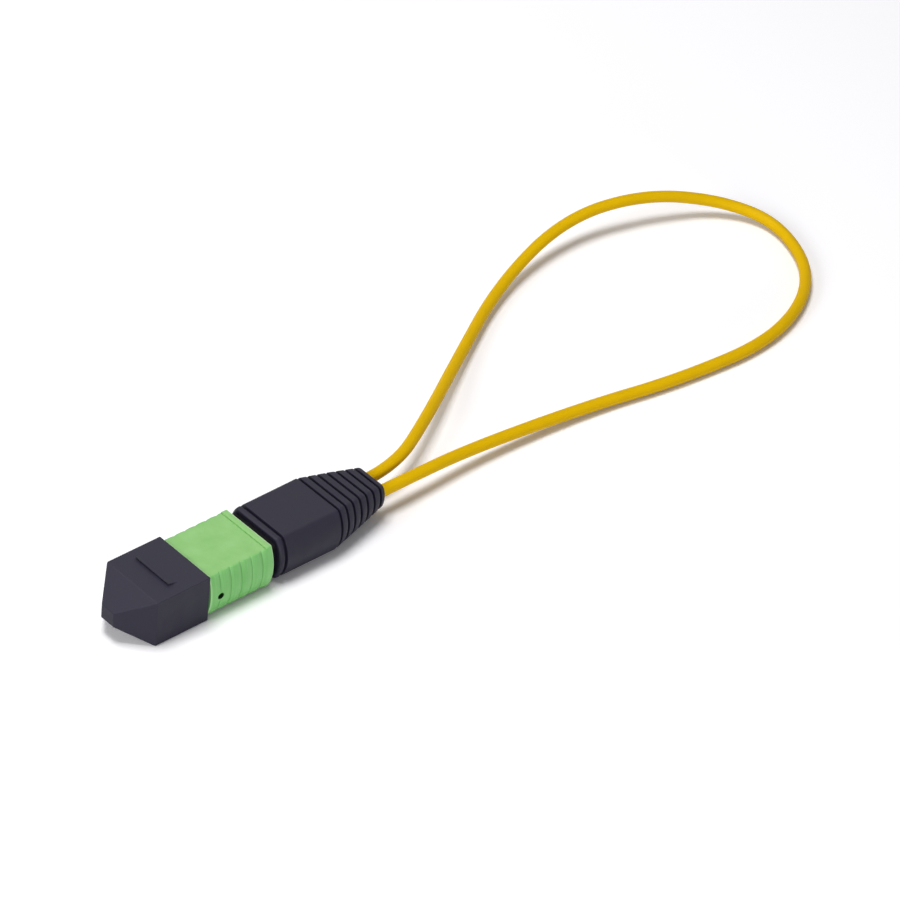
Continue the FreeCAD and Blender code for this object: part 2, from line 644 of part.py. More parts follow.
def coated_fibres(side):
    """Six coated fibres side by side, from the ferrule through the barrel to one end of the cable."""
    count = FIBRE_COUNT // 2
    width = count * FIBRE_PITCH - FERRULE_BOOT_CLEARANCE
    offset = side * count * FIBRE_PITCH / 2
    front = FERRULE_FACE + GLASS_BORE_LENGTH
    bundle_width = count / 2 * FIBRE_PITCH
    return loft([
        rectangle(front, width, COATING_THICKNESS, offset),
        rectangle(BARREL_REAR, width, COATING_THICKNESS, offset),
        rectangle(CABLE_END, bundle_width, 2 * COATING_THICKNESS, side * EXIT_OFFSET),
    ])


def boot_stations():
    """The boot's outer outlines as (station, width, height, flat), from the collar to the tail."""
    return [
        (BOOT_FRONT, BOOT_WIDTH, BOOT_HEIGHT, BOOT_FLAT),
        (BOOT_FRONT + BOOT_TAPER_SETBACK, BOOT_WIDTH, BOOT_HEIGHT, BOOT_FLAT),
        (BOOT_FRONT + TAIL_MIDDLE_SETBACK, TAIL_MIDDLE_WIDTH, TAIL_MIDDLE_HEIGHT, TAIL_MIDDLE_FLAT),
        (BOOT_REAR, BOOT_END_WIDTH, BOOT_END_HEIGHT, BOOT_END_FLAT),
    ]


def boot_outline(x, inset=0.0):
    """The boot's outline at any station, drawn in by the inset."""
    stations = boot_stations()
    before, after = stations[0], stations[1]
    for first, second in zip(stations[:-1], stations[1:]):
        if first[0] <= x:
            before, after = first, second
    share = (x - before[0]) / (after[0] - before[0])
    width, height, flat = [a + share * (b - a) for a, b in zip(before[1:], after[1:])]
    return barrel_outline(x, width - 2 * inset, height - 2 * inset, flat - inset)


def boot_groove(x, groove_width, depth):
    """A ring that cuts a groove of even depth all round the boot."""
    front = x - groove_width / 2
    rear = x + groove_width / 2
    core = loft([boot_outline(front, depth), boot_outline(rear, depth)])
    return centred_block(front, rear, 2 * BOOT_WIDTH, 2 * BOOT_HEIGHT).cut(core)


def boot():
    """The boot: a flat barrel behind a collar, then a tail that tapers on all sides, ringed by grooves."""
    spans = [station[0] for station in boot_stations()[:-1]] + [BOOT_REAR - BOOT_END_CHAMFER]
    parts = []
    for front, rear in zip(spans[:-1], spans[1:]):
        parts.append(loft([boot_outline(front), boot_outline(rear)]))
    parts.append(loft([boot_outline(spans[-1]), boot_outline(BOOT_REAR, BOOT_END_CHAMFER)]))
    solid = parts[0].fuse(parts[1:]).removeSplitter()

    collar_groove = BOOT_FRONT + COLLAR_LENGTH + COLLAR_GROOVE_WIDTH / 2
    solid = solid.cut(boot_groove(collar_groove, COLLAR_GROOVE_WIDTH, COLLAR_GROOVE_DEPTH))
    first_groove = BOOT_FRONT + BOOT_TAPER_SETBACK + TAIL_GROOVE_WIDTH / 2
    for number in range(TAIL_GROOVE_COUNT):
        solid = solid.cut(boot_groove(
            first_groove + number * TAIL_GROOVE_PITCH, TAIL_GROOVE_WIDTH, TAIL_GROOVE_DEPTH
        ))

    chamber_diameter = aramid_diameters()[1] + 2 * ARAMID_CLEARANCE + 2 * CRIMP_RING_WALL + 2 * BOOT_CLEARANCE
    solid = solid.cut(rod(BOOT_FRONT, CABLE_END, chamber_diameter))
    for side in (LEFT, RIGHT):
        solid = solid.cut(rod(CABLE_END, BOOT_REAR, CABLE_DIAMETER + 2 * CABLE_CLEARANCE, side * EXIT_OFFSET))
    return solid


def cable_points():
    """Where the cable's straight runs would meet, from its right end inside the boot to its left end."""
    bend = BOOT_REAR + CABLE_STRAIGHT
    points = [Vector(CABLE_END, EXIT_OFFSET, AXIS_Z), Vector(bend, EXIT_OFFSET, AXIS_Z)]
    points += [Vector(*point) for point in CABLE_ROUTE]
    points += [Vector(bend, -EXIT_OFFSET, AXIS_Z), Vector(CABLE_END, -EXIT_OFFSET, AXIS_Z)]
    return points


def cable_path():
    """Straight runs joined by tangent arcs, each arc as large as its two runs allow, and the arcs' radii."""
    points = cable_points()
    edges = []
    radii = []
    last = points[0]
    for before, corner, after in zip(points[:-2], points[1:-1], points[2:]):
        back = before - corner
        ahead = after - corner
        reach = ARC_SHARE * min(back.Length, ahead.Length)
        back.normalize()
        ahead.normalize()
        half_turn = (math.pi - back.getAngle(ahead)) / 2
        radius = reach / math.tan(half_turn)
        start = corner + back * reach
        end = corner + ahead * reach
        inward = back + ahead
        inward.normalize()
        middle = corner + inward * (radius / math.cos(half_turn) - radius)
        edges.append(Part.LineSegment(last, start).toShape())
        edges.append(Part.Arc(start, middle, end).toShape())
        radii.append(radius)
        last = end
    edges.append(Part.LineSegment(last, points[-1]).toShape())
    return Part.Wire(edges), radii


def cable_loop():
    """The cable along its path, its round section drawn with flat sides to keep it light."""
    path, radii = cable_path()
    section = Part.Face(polygon_outline(cable_points()[0], CABLE_DIAMETER, CABLE_SIDES))
    tube = path.makePipe(section)
    expected = section.Area * path.Length
    print("cable radii", [round(radius, 1) for radius in radii])
    print("cable length", round(path.Length, 1), "volume share", round(tube.Volume / expected, 4))
    return tube


def main():
    pieces = {
        "dust_cap": dust_cap(),
        "coupling_sleeve": coupling_sleeve(),
        "inner_housing": inner_housing(),
        "ferrule": ferrule(),
        "glass_fibres": glass_fibres(),
        "adhesive_plug": adhesive_plug(),
        "ferrule_boot": ferrule_boot(),
        "pin_keeper": pin_keeper(),
        "ferrule_spring": ferrule_spring(),
        "spring_push": spring_push(),
        "crimp_ring": crimp_ring(),
        "boot": boot(),
        "cable_loop": cable_loop(),
    }
    for name, side in (("left", LEFT), ("right", RIGHT)):
        pieces[f"coupling_spring_{name}"] = coupling_spring(side)
        pieces[f"aramid_{name}"] = aramid(side)
        pieces[f"coated_fibres_{name}"] = coated_fibres(side)

    os.makedirs("parts", exist_ok=True)
    for name, shape in pieces.items():
        shape.exportStep(f"parts/{name}.step")
        box = shape.BoundBox
        print(
            f"{name:22} solids {len(shape.Solids)} valid {shape.isValid()} volume {shape.Volume:9.3f}"
            f"  x {box.XMin:7.2f} {box.XMax:7.2f}  y {box.YMin:6.2f} {box.YMax:6.2f}"
            f"  z {box.ZMin:5.2f} {box.ZMax:5.2f}"
        )


main()
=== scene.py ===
# %% [markdown]
# # A fibre loopback plug
# The plug's solid model is loaded as a fixed frame, and this file dresses it: the cable, the dust cap, the
# green coupling sleeve, the black boot, and what lies inside them. Every piece is made in millimetres,
# because that is how such a plug is drawn, and is then shrunk to Blender's metres.

# %% Load the frame
import json
import math

import bmesh
import bpy
from mathutils import Matrix, Vector

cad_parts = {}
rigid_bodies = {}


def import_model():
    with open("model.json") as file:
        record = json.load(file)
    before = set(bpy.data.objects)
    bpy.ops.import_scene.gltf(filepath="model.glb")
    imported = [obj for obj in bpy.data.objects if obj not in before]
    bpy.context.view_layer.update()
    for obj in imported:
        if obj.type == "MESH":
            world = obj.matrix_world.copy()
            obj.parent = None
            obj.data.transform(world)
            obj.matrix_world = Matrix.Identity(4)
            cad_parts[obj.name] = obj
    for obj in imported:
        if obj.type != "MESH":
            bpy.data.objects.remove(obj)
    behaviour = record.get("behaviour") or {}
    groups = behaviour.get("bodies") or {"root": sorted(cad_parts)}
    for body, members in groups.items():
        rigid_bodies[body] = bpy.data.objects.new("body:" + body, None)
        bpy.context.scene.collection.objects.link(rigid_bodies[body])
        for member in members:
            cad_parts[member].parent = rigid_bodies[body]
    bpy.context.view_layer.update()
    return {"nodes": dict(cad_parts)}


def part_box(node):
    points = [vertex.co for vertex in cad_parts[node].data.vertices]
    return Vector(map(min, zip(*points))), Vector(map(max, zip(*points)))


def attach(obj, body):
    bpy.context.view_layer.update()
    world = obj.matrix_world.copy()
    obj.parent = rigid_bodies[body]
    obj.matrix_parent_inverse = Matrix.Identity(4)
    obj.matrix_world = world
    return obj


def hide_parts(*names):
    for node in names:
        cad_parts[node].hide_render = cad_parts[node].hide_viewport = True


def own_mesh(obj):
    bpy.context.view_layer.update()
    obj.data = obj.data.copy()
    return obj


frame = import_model()
MM = 0.001


def box_mm(node):
    """A node's lowest and highest corners in millimetres."""
    low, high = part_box(node)
    return Vector(low) / MM, Vector(high) / MM


for node in frame["nodes"]:
    low, high = box_mm(node)
    print(f"{node:22}", [round(n, 2) for n in (*low, *high)])

# %% [markdown]
# ## The camera
# The photograph was taken from above the nose's left side, from about three quarters of a metre. The
# long lens keeps the plug's sides nearly parallel. The camera is turned a few degrees about its own line
# of sight, so its matrix is written from three directions rather than with a look-at rule.

# %% The camera
EYE = Vector((-380.65, -413.9, 469.2)) * MM
TARGET = Vector((46.25, 3.34, 0.0)) * MM
ROLL = math.radians(-6.21)
FOCAL_LENGTH, SENSOR_WIDTH, NEAREST = 190.96, 36, 0.01

forward = (TARGET - EYE).normalized()
right = forward.cross(Vector((0, 0, 1))).normalized()
down = forward.cross(right)
turned_right = right * math.cos(ROLL) + down * math.sin(ROLL)
turned_down = down * math.cos(ROLL) - right * math.sin(ROLL)

lens = bpy.data.cameras.new("camera")
lens.lens = FOCAL_LENGTH
lens.sensor_width = SENSOR_WIDTH
lens.clip_start = NEAREST
camera = bpy.data.objects.new("camera", lens)
bpy.context.collection.objects.link(camera)
axes = Matrix((turned_right, -turned_down, -forward)).transposed()
camera.matrix_world = Matrix.Translation(EYE) @ axes.to_4x4()
bpy.context.scene.camera = camera
print("distance", round((TARGET - EYE).length, 3), "m")

# %% [markdown]
# ## The cable
# One round cable leaves the boot by its right hole, goes round in a long loop on the table and comes back
# by the left hole. It could be a tube swept along arcs, but a jacket of soft plastic has no straight runs
# and no corners. A NURBS spline with the solid model's route points as its control points bends all the way,
# as the real one does, and a bevel gives it its thickness.

# %% The cable's route
CABLE_DIAMETER = 2.0
CABLE_ROUTE = [
    (12.175, 1.8, 4.2),
    (20.0, 1.8, 4.2),
    (33.0, 1.8, 4.2),
    (44.6, 7.8, 4.2),
    (60.7, 18.2, 2.0),
    (80.9, 30.1, 1.6),
    (99.2, 34.4, 4.9),
    (114.6, 31.3, 5.6),
    (127.7, 25.1, 2.6),
    (132.7, 15.1, 1.3),
    (126.0, 0.6, 1.2),
    (109.4, -7.3, 1.2),
    (88.1, -5.9, 1.2),
    (70.2, -2.4, 1.4),
    (47.0, -0.9, 2.8),
    (33.025, -1.8, 4.2),
    (12.175, -1.8, 4.2),
]
CABLE_END, EXIT_OFFSET, AXIS_Z = CABLE_ROUTE[0]


def spline_through(name, *lines):
    """A curve drawn towards the points of each line, in millimetres, as its bevel depth then is too."""
    curve = bpy.data.curves.new(name, "CURVE")
    curve.dimensions = "3D"
    for points in lines:
        spline = curve.splines.new("NURBS")
        spline.points.add(len(points) - 1)
        for point, place in zip(spline.points, points):
            point.co = (*(Vector(place) * MM), 1)
            point.radius = MM
        spline.order_u = 3
        spline.use_endpoint_u = True
        spline.resolution_u = 24
    line = bpy.data.objects.new(name, curve)
    bpy.context.collection.objects.link(line)
    return line


# %% The cable
cable = spline_through("cable_jacket", CABLE_ROUTE)
mesh = bpy.data.meshes.new_from_object(cable)
bpy.data.meshes.remove(mesh)
cable.data.bevel_depth = CABLE_DIAMETER / 2
cable.data.bevel_resolution = 8
cable.data.use_fill_caps = True
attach(cable, "plug")
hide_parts("cable_loop")

# %% [markdown]
# ## Modelling by hand, in code
# The next helpers do what hands do in edit mode. A ring of corners is laid across the plug, pushed out
# into the next ring, and that ring is laid on its own outline. This suits the sleeve and the boot, which
# are one outline that changes along X. A block is the start of what has flat sides.

# %% Helpers for selecting
def settle():
    """Back to object mode with nothing selected."""
    if bpy.context.object and bpy.context.object.mode != "OBJECT":
        bpy.ops.object.mode_set(mode="OBJECT")
    bpy.ops.object.select_all(action="DESELECT")


def take(piece):
    """Makes a piece the only selected and active one."""
    settle()
    piece.select_set(True)
    bpy.context.view_layer.objects.active = piece


def pick(piece, kind, test):
    """In edit mode, selects only the faces, edges or vertices that pass the test."""
    take(piece)
    bpy.ops.object.mode_set(mode="EDIT")
    bpy.ops.mesh.select_mode(type=kind)
    bpy.ops.mesh.select_all(action="DESELECT")
    mesh = bmesh.from_edit_mesh(piece.data)
    items = {"VERT": mesh.verts, "EDGE": mesh.edges, "FACE": mesh.faces}[kind]
    chosen = [item for item in items if test(item)]
    assert chosen, (piece.name, kind)
    for item in chosen:
        item.select_set(True)
    mesh.select_flush_mode()
    bmesh.update_edit_mesh(piece.data)


# %% Helpers for blocks, bars and cuts
def add_block(name, low, high):
    """A block between two corners."""
    settle()
    middle = (Vector(low) + Vector(high)) / 2
    bpy.ops.mesh.primitive_cube_add(size=1, location=middle, scale=Vector(high) - Vector(low))
    bpy.ops.object.transform_apply(location=True, rotation=True, scale=True)
    block = bpy.context.object
    block.name = block.data.name = name
    return block


def centred_block(name, x0, x1, half_width, half_height):
    """A block that is centred on the plug's axis."""
    return add_block(name, (x0, -half_width, AXIS_Z - half_height), (x1, half_width, AXIS_Z + half_height))


def add_rod(name, x0, x1, diameter, offset, sides=48):
    """A round bar along X, for cutting holes."""
    settle()
    bpy.ops.mesh.primitive_cylinder_add(
        vertices=sides, radius=diameter / 2, depth=x1 - x0, location=((x0 + x1) / 2, offset, AXIS_Z),
        rotation=(0, math.pi / 2, 0),
    )
    bpy.ops.object.transform_apply(location=True, rotation=True, scale=True)
    rod = bpy.context.object
    rod.name = rod.data.name = name
    return rod


def carve(piece, cutter, operation="DIFFERENCE"):
    """Cuts one solid from another, or joins it on, and throws the cutter away."""
    take(piece)
    modifier = piece.modifiers.new("carve", "BOOLEAN")
    modifier.operation = operation
    modifier.solver = "EXACT"
    modifier.object = cutter
    bpy.ops.object.modifier_apply(modifier=modifier.name)
    bpy.data.objects.remove(cutter)


def cut_box(piece, x0, x1, y0, y1, low, high):
    """Cuts a block out of a piece. Heights are counted from the plug's axis."""
    carve(piece, add_block("cutter", (x0, y0, AXIS_Z + low), (x1, y1, AXIS_Z + high)))


def round_edges(piece, width, segments=3, angle=30):
    """Rounds every edge that turns by more than the angle."""
    take(piece)
    modifier = piece.modifiers.new("round", "BEVEL")
    modifier.width = width
    modifier.segments = segments
    modifier.limit_method = "ANGLE"
    modifier.angle_limit = math.radians(angle)
    modifier.harden_normals = False
    bpy.ops.object.modifier_apply(modifier=modifier.name)


# %% Helper that finishes a piece
WELD_MM = 0.0005


def finish_piece(piece, body, slot, *nodes, smooth=35):
    """Shrinks a piece to metres, shades it, and puts it on its body in place of its nodes."""
    take(piece)
    bpy.ops.object.mode_set(mode="EDIT")
    bpy.ops.mesh.select_all(action="SELECT")
    bpy.ops.mesh.remove_doubles(threshold=WELD_MM)
    bpy.ops.mesh.normals_make_consistent(inside=False)
    settle()
    take(piece)
    bpy.ops.transform.resize(value=(MM, MM, MM), center_override=(0, 0, 0))
    bpy.ops.object.transform_apply(location=True, rotation=True, scale=True)
    bpy.ops.object.shade_smooth_by_angle(angle=math.radians(smooth))
    even = piece.modifiers.new("even", "WEIGHTED_NORMAL")
    even.keep_sharp = True
    bpy.ops.object.modifier_apply(modifier=even.name)
    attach(piece, body)
    if nodes:
        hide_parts(*nodes)
    size = Vector(piece.dimensions) / MM
    print(piece.name, "faces", len(piece.data.polygons), "size", [round(n, 2) for n in size])


# %% Helpers for rings
FLAT_STEPS, CORNER_STEPS, SIDE_STEPS = 6, 6, 12


def outline(width, height, flat, soft):
    """Corners of an outline with a flat top and bottom, sides that bulge, and soft corners between them.

    The side is one arc through the ends of the flats and the point of full width. A smaller circle that
    touches both the flat and that arc softens the corner.
    """
    bulge = (width - flat) / 2
    radius = (height ** 2 / 4 + bulge ** 2) / (2 * bulge)
    return arc_outline(height, width / 2 - radius, radius, soft)


def arc_outline(height, centre, radius, soft):
    """The same outline, from the place and radius of its side arc."""
    top = height / 2
    corner_y = centre + math.sqrt((radius - soft) ** 2 - (top - soft) ** 2)
    meet = math.atan2(top - soft, corner_y - centre)
    quarter = [(corner_y * step / FLAT_STEPS, top) for step in range(FLAT_STEPS)]
    for step in range(CORNER_STEPS + 1):
        angle = math.pi / 2 + (meet - math.pi / 2) * step / CORNER_STEPS
        quarter.append((corner_y + soft * math.cos(angle), top - soft + soft * math.sin(angle)))
    for step in range(1, SIDE_STEPS + 1):
        angle = meet * (1 - step / SIDE_STEPS)
        quarter.append((centre + radius * math.cos(angle), radius * math.sin(angle)))
    half = quarter + [(y, -z) for y, z in quarter[-2::-1]]
    return half + [(-y, z) for y, z in half[-2:0:-1]]


def turn_of(y, z):
    """The direction of a corner round the axis, counted from just below the right side."""
    return (math.atan2(z, y) + 0.01) % (2 * math.pi)


def lay_ring(piece, x, corners):
    """Lays the selected corners of a piece on an outline at one station."""
    mesh = bmesh.from_edit_mesh(piece.data)
    ring = sorted((v for v in mesh.verts if v.select), key=lambda v: turn_of(v.co.y, v.co.z - AXIS_Z))
    places = sorted(corners, key=lambda corner: turn_of(*corner))
    assert len(ring) == len(places), (piece.name, x, len(ring), len(places))
    for vertex, (y, z) in zip(ring, places):
        vertex.co = (x, y, AXIS_Z + z)
    bmesh.update_edit_mesh(piece.data)


def start_rings(name, x, corners):
    """Starts a piece as one ring of corners."""
    settle()
    bpy.ops.mesh.primitive_circle_add(
        vertices=len(corners), radius=3, location=(x, 0, AXIS_Z), rotation=(0, math.pi / 2, 0)
    )
    bpy.ops.object.transform_apply(location=True, rotation=True, scale=True)
    piece = bpy.context.object
    piece.name = piece.data.name = name
    pick(piece, "VERT", lambda v: True)
    bpy.ops.mesh.select_mode(type="EDGE")
    lay_ring(piece, x, corners)
    return piece


def next_ring(piece, x, corners):
    """Pushes the selected ring out and lays the new one on its outline."""
    bpy.ops.mesh.extrude_region_move(TRANSFORM_OT_translate={"value": (1, 0, 0)})
    lay_ring(piece, x, corners)


# %% [markdown]
# ## The coupling sleeve
# The green sleeve slides back on the plug to free it from a port. Its top and bottom are flat. Its sides
# bulge on one arc and have creases between broad ribs for the fingers, so that the top's long edges look
# scalloped. A rim stands proud at the back, behind a fine groove, and its rear edge is rounded. A mesh of
# rings gives all of this at once: along X only the depth of the side and the height of the top change. The
# rings then turn in at the back and run forwards along the bore, which leaves a closed wall.

# %% The sleeve's sizes and outline
SLEEVE_FRONT, SLEEVE_REAR = (corner.x for corner in box_mm("coupling_sleeve"))
SLEEVE_HEIGHT, SLEEVE_CENTRE, SLEEVE_RADIUS = 7.45, -2.75, 9.0
RIB_START, RIB_PITCH, RIB_COUNT, RIB_DEPTH, RIB_STEPS = 2.05, 2.075, 4, 0.2, 20
RIM_LENGTH, RIM_HEIGHT, RIM_ROUND, RIM_STEPS = 1.1, 7.9, 0.22, 5
BORE_WIDTH, BORE_HEIGHT, NEARLY_FLAT = 9.9, 6.4, 400
HOLE_X, HOLE_Z, HOLE_DIAMETER = SLEEVE_FRONT + 2.0, -0.35, 1.1
HOLE_KEPT_CLEAR, CREASE_BACK = 0.7, 1.3
CREASE_POWER, FLAT_EDGE, SIDE_EDGE = 0.45, 4.6, 5.2


def rib_depth(x):
    """How deep the side lies below a rib's crest at one station: a crease at each end of a rib."""
    along = (x - SLEEVE_FRONT - RIB_START) / RIB_PITCH
    if along < -0.5 or along > RIB_COUNT + 0.5:
        return 0.0
    return RIB_DEPTH * (1 - abs(math.sin(math.pi * along)) ** CREASE_POWER)


def slope(value, low, high):
    """0 below one number, 1 above another, and an even slope between."""
    return min(max((value - low) / (high - low), 0), 1)


def sleeve_ring(x, height=SLEEVE_HEIGHT, drop=0.0, soft=0.3):
    """The sleeve's outline. A crease fades out over the flat top and round the marking hole."""
    corners = []
    for y, z in arc_outline(height - 2 * drop, SLEEVE_CENTRE, SLEEVE_RADIUS - drop, soft):
        depth = rib_depth(x) * slope(abs(y), FLAT_EDGE, SIDE_EDGE)
        if y < 0:
            depth *= slope(math.hypot(x - HOLE_X, z - HOLE_Z), HOLE_KEPT_CLEAR, CREASE_BACK)
        corners.append((y - math.copysign(depth, y), z))
    return corners


# %% The sleeve's rings
FRONT_BEVEL, FINE_BEVEL, RIM_GROOVE = 0.14, 0.04, 0.24
RIM_PROFILE = [
    (-0.16, SLEEVE_HEIGHT), (-0.13, SLEEVE_HEIGHT - RIM_GROOVE), (0.0, SLEEVE_HEIGHT - RIM_GROOVE),
    (0.01, RIM_HEIGHT - RIM_GROOVE), (0.06, RIM_HEIGHT - 0.06), (0.16, RIM_HEIGHT),
]
bore_ring = arc_outline(BORE_HEIGHT, BORE_WIDTH / 2 - NEARLY_FLAT, NEARLY_FLAT, 0.25)
rim_front = SLEEVE_REAR - RIM_LENGTH
sleeve = start_rings("coupling_sleeve_shell", SLEEVE_FRONT, bore_ring)
next_ring(sleeve, SLEEVE_FRONT, sleeve_ring(SLEEVE_FRONT, drop=FRONT_BEVEL))
next_ring(sleeve, SLEEVE_FRONT + FINE_BEVEL, sleeve_ring(SLEEVE_FRONT, drop=FINE_BEVEL))
next_ring(sleeve, SLEEVE_FRONT + FRONT_BEVEL, sleeve_ring(SLEEVE_FRONT))
for step in range(-RIB_STEPS // 2, RIB_STEPS * RIB_COUNT + RIB_STEPS // 2):
    x = SLEEVE_FRONT + RIB_START + RIB_PITCH * step / RIB_STEPS
    if x < rim_front - 0.2:
        next_ring(sleeve, x, sleeve_ring(x))
for behind, height in RIM_PROFILE:
    next_ring(sleeve, rim_front + behind, sleeve_ring(SLEEVE_REAR, height))
for step in range(RIM_STEPS + 1):
    turn = math.pi / 2 * step / RIM_STEPS
    x = SLEEVE_REAR - RIM_ROUND + RIM_ROUND * math.sin(turn)
    next_ring(sleeve, x, sleeve_ring(SLEEVE_REAR, RIM_HEIGHT, RIM_ROUND * (1 - math.cos(turn))))
next_ring(sleeve, SLEEVE_REAR, bore_ring)
next_ring(sleeve, SLEEVE_FRONT, bore_ring)
bpy.ops.mesh.select_all(action="SELECT")
bpy.ops.mesh.remove_doubles(threshold=0.001)
bpy.ops.mesh.normals_make_consistent(inside=False)
settle()
print("sleeve rings", len(sleeve.data.vertices) // len(bore_ring))

# %% [markdown]
# The bore's sides have a channel for each small spring, from the lug to the back. A small round hole
# through the left wall marks the side of the first fibre. Both are cut with boolean modifiers, because
# neither follows the rings. The lugs that the springs push on are joined on in the same way.

# %% The sleeve's channels, marking hole and lugs
LUG_FRONT, LUG_REAR = SLEEVE_FRONT + 4.0, SLEEVE_FRONT + 5.2
LUG_INNER, LUG_OUTER, LUG_HALF = 4.35, 5.1, 0.65
CHANNEL_FLOOR, CHANNEL_ROOF, CHANNEL_HALF = 4.0, 5.65, 0.7
for side in (-1, 1):
    near, far = sorted((side * CHANNEL_FLOOR, side * CHANNEL_ROOF))
    carve(sleeve, add_block(
        "channel", (LUG_REAR, near, AXIS_Z - CHANNEL_HALF), (SLEEVE_REAR + 1, far, AXIS_Z + CHANNEL_HALF)
    ))
settle()
bpy.ops.mesh.primitive_cylinder_add(
    vertices=48, radius=HOLE_DIAMETER / 2, depth=4, location=(HOLE_X, -6, AXIS_Z + HOLE_Z),
    rotation=(math.pi / 2, 0, 0),
)
carve(sleeve, bpy.context.object)
for side in (-1, 1):
    near, far = sorted((side * LUG_INNER, side * LUG_OUTER))
    lug = add_block("lug", (LUG_FRONT, near, AXIS_Z - LUG_HALF), (LUG_REAR, far, AXIS_Z + LUG_HALF))
    round_edges(lug, 0.08, segments=2)
    carve(sleeve, lug, "UNION")
finish_piece(sleeve, "sleeve", "green_moulding", "coupling_sleeve", smooth=32)

# %% [markdown]
# ## The boot
# The black boot covers the crimp and keeps the cable ends from bending. Behind a thin collar and a deep
# groove its barrel is straight, flat on top and bottom and rounded at the sides. Its tail then tapers on
# all sides and is ringed by seven grooves that let it flex. It is again a mesh of rings: a groove takes
# eight, down one wall, along its floor and up the other, with a small round at each lip. The front edge is
# rounded in six steps, and more at the sides than on top.

# %% The boot's sizes and outline
BOOT_FRONT, BOOT_REAR = (corner.x for corner in box_mm("boot"))
BOOT_STATIONS = [  # along X, then the width, the height and the width of the flat top
    (BOOT_FRONT, 12.4, 7.9, 9.5),
    (BOOT_FRONT + 12.35, 12.4, 7.9, 9.7),
    (BOOT_FRONT + 17.9, 9.7, 6.4, 7.7),
    (BOOT_REAR, 6.9, 4.3, 5.7),
]
COLLAR_END, COLLAR_GROOVE, COLLAR_DEPTH = BOOT_FRONT + 0.9, 0.60, 0.55
TAIL_FIRST, TAIL_PITCH, TAIL_COUNT, TAIL_GROOVE, TAIL_DEPTH = BOOT_FRONT + 12.56, 1.67, 7, 0.50, 0.45
LIP, LIP_MIDDLE, WALL_LEAN = 0.07, 0.025, 0.02
FRONT_ROUND, FRONT_SIDE, FRONT_LENGTH, FRONT_STEPS, REAR_ROUND = 0.2, 0.45, 0.55, 6, 0.3
CORNER_SOFTNESS = 0.8


def boot_ring(x, drop=0.0, side_drop=0.0):
    """The boot's outline at a station, drawn in all round by the drop, and more at its sides."""
    before, after = BOOT_STATIONS[0], BOOT_STATIONS[1]
    for first, second in zip(BOOT_STATIONS[:-1], BOOT_STATIONS[1:]):
        if first[0] <= x:
            before, after = first, second
    share = (x - before[0]) / (after[0] - before[0])
    width, height, flat = [a + share * (b - a) for a, b in zip(before[1:], after[1:])]
    return outline(
        width - 2 * drop - 2 * side_drop, height - 2 * drop, flat - drop - side_drop, CORNER_SOFTNESS
    )


def ring_groove(piece, middle, width, depth):
    """A groove all round, with a small round at each lip."""
    front, rear = middle - width / 2, middle + width / 2
    next_ring(piece, front - LIP, boot_ring(front - LIP))
    next_ring(piece, front - WALL_LEAN, boot_ring(front - WALL_LEAN, LIP_MIDDLE))
    next_ring(piece, front, boot_ring(front, LIP))
    next_ring(piece, front + WALL_LEAN, boot_ring(front + WALL_LEAN, depth))
    next_ring(piece, rear - WALL_LEAN, boot_ring(rear - WALL_LEAN, depth))
    next_ring(piece, rear, boot_ring(rear, LIP))
    next_ring(piece, rear + WALL_LEAN, boot_ring(rear + WALL_LEAN, LIP_MIDDLE))
    next_ring(piece, rear + LIP, boot_ring(rear + LIP))


# %% The boot's rings
boot = start_rings("boot_shell", BOOT_FRONT, boot_ring(BOOT_FRONT, FRONT_ROUND, FRONT_SIDE))
bpy.ops.mesh.edge_face_add()
for step in range(1, FRONT_STEPS + 1):
    turn = math.pi / 2 * step / FRONT_STEPS
    x = BOOT_FRONT + FRONT_LENGTH * (1 - math.cos(turn))
    left = 1 - math.sin(turn)
    next_ring(boot, x, boot_ring(BOOT_FRONT, FRONT_ROUND * left, FRONT_SIDE * left))
ring_groove(boot, COLLAR_END + COLLAR_GROOVE / 2, COLLAR_GROOVE, COLLAR_DEPTH)
for number in range(TAIL_COUNT):
    ring_groove(boot, TAIL_FIRST + number * TAIL_PITCH, TAIL_GROOVE, TAIL_DEPTH)
next_ring(boot, BOOT_REAR - REAR_ROUND, boot_ring(BOOT_REAR - REAR_ROUND))
next_ring(boot, BOOT_REAR - REAR_ROUND / 3, boot_ring(BOOT_REAR, REAR_ROUND * 0.3))
next_ring(boot, BOOT_REAR, boot_ring(BOOT_REAR, REAR_ROUND))
bpy.ops.mesh.edge_face_add()
settle()
print("boot corners", len(boot.data.vertices))

# %% [markdown]
# Inside, a round chamber takes the crimp, and two round holes side by side let the cable out. The real
# mould has a steel core for each. Here each core is a bar, and a boolean modifier takes it away.

# %% The boot's chamber and cable holes
CHAMBER_DIAMETER, HOLE_FRONT, EXIT_DIAMETER = 5.94, 12.0, 2.1
carve(boot, add_rod("chamber", BOOT_FRONT - 1, CABLE_END, CHAMBER_DIAMETER, 0, sides=64))
for side in (-1, 1):
    carve(boot, add_rod("exit", HOLE_FRONT, BOOT_REAR + 1, EXIT_DIAMETER, side * EXIT_OFFSET, sides=40))
finish_piece(boot, "plug", "boot_moulding", "boot", smooth=32)

# %% [markdown]
# ## The dust cap
# The cap is a square tube whose front closes in a blunt pyramid, with a step on top for a fingernail. It
# has only flat faces and tight edges, so it starts as a block: the front face is pushed out and drawn
# together, and the back face is inset and pushed in for the socket. The step is a second block, undercut
# at the front and sloped down to nothing at the back. A bevel modifier then rounds every edge a little,
# as the mould does.

# %% The cap's block and nose
CAP_NOSE, CAP_MOUTH = (corner.x for corner in box_mm("dust_cap"))
CAP_SHOULDER = CAP_MOUTH - 10.25
CAP_WIDTH, CAP_HEIGHT = 12.1, 8.4
TIP_WIDTH, TIP_HEIGHT = 2.9, 2.6

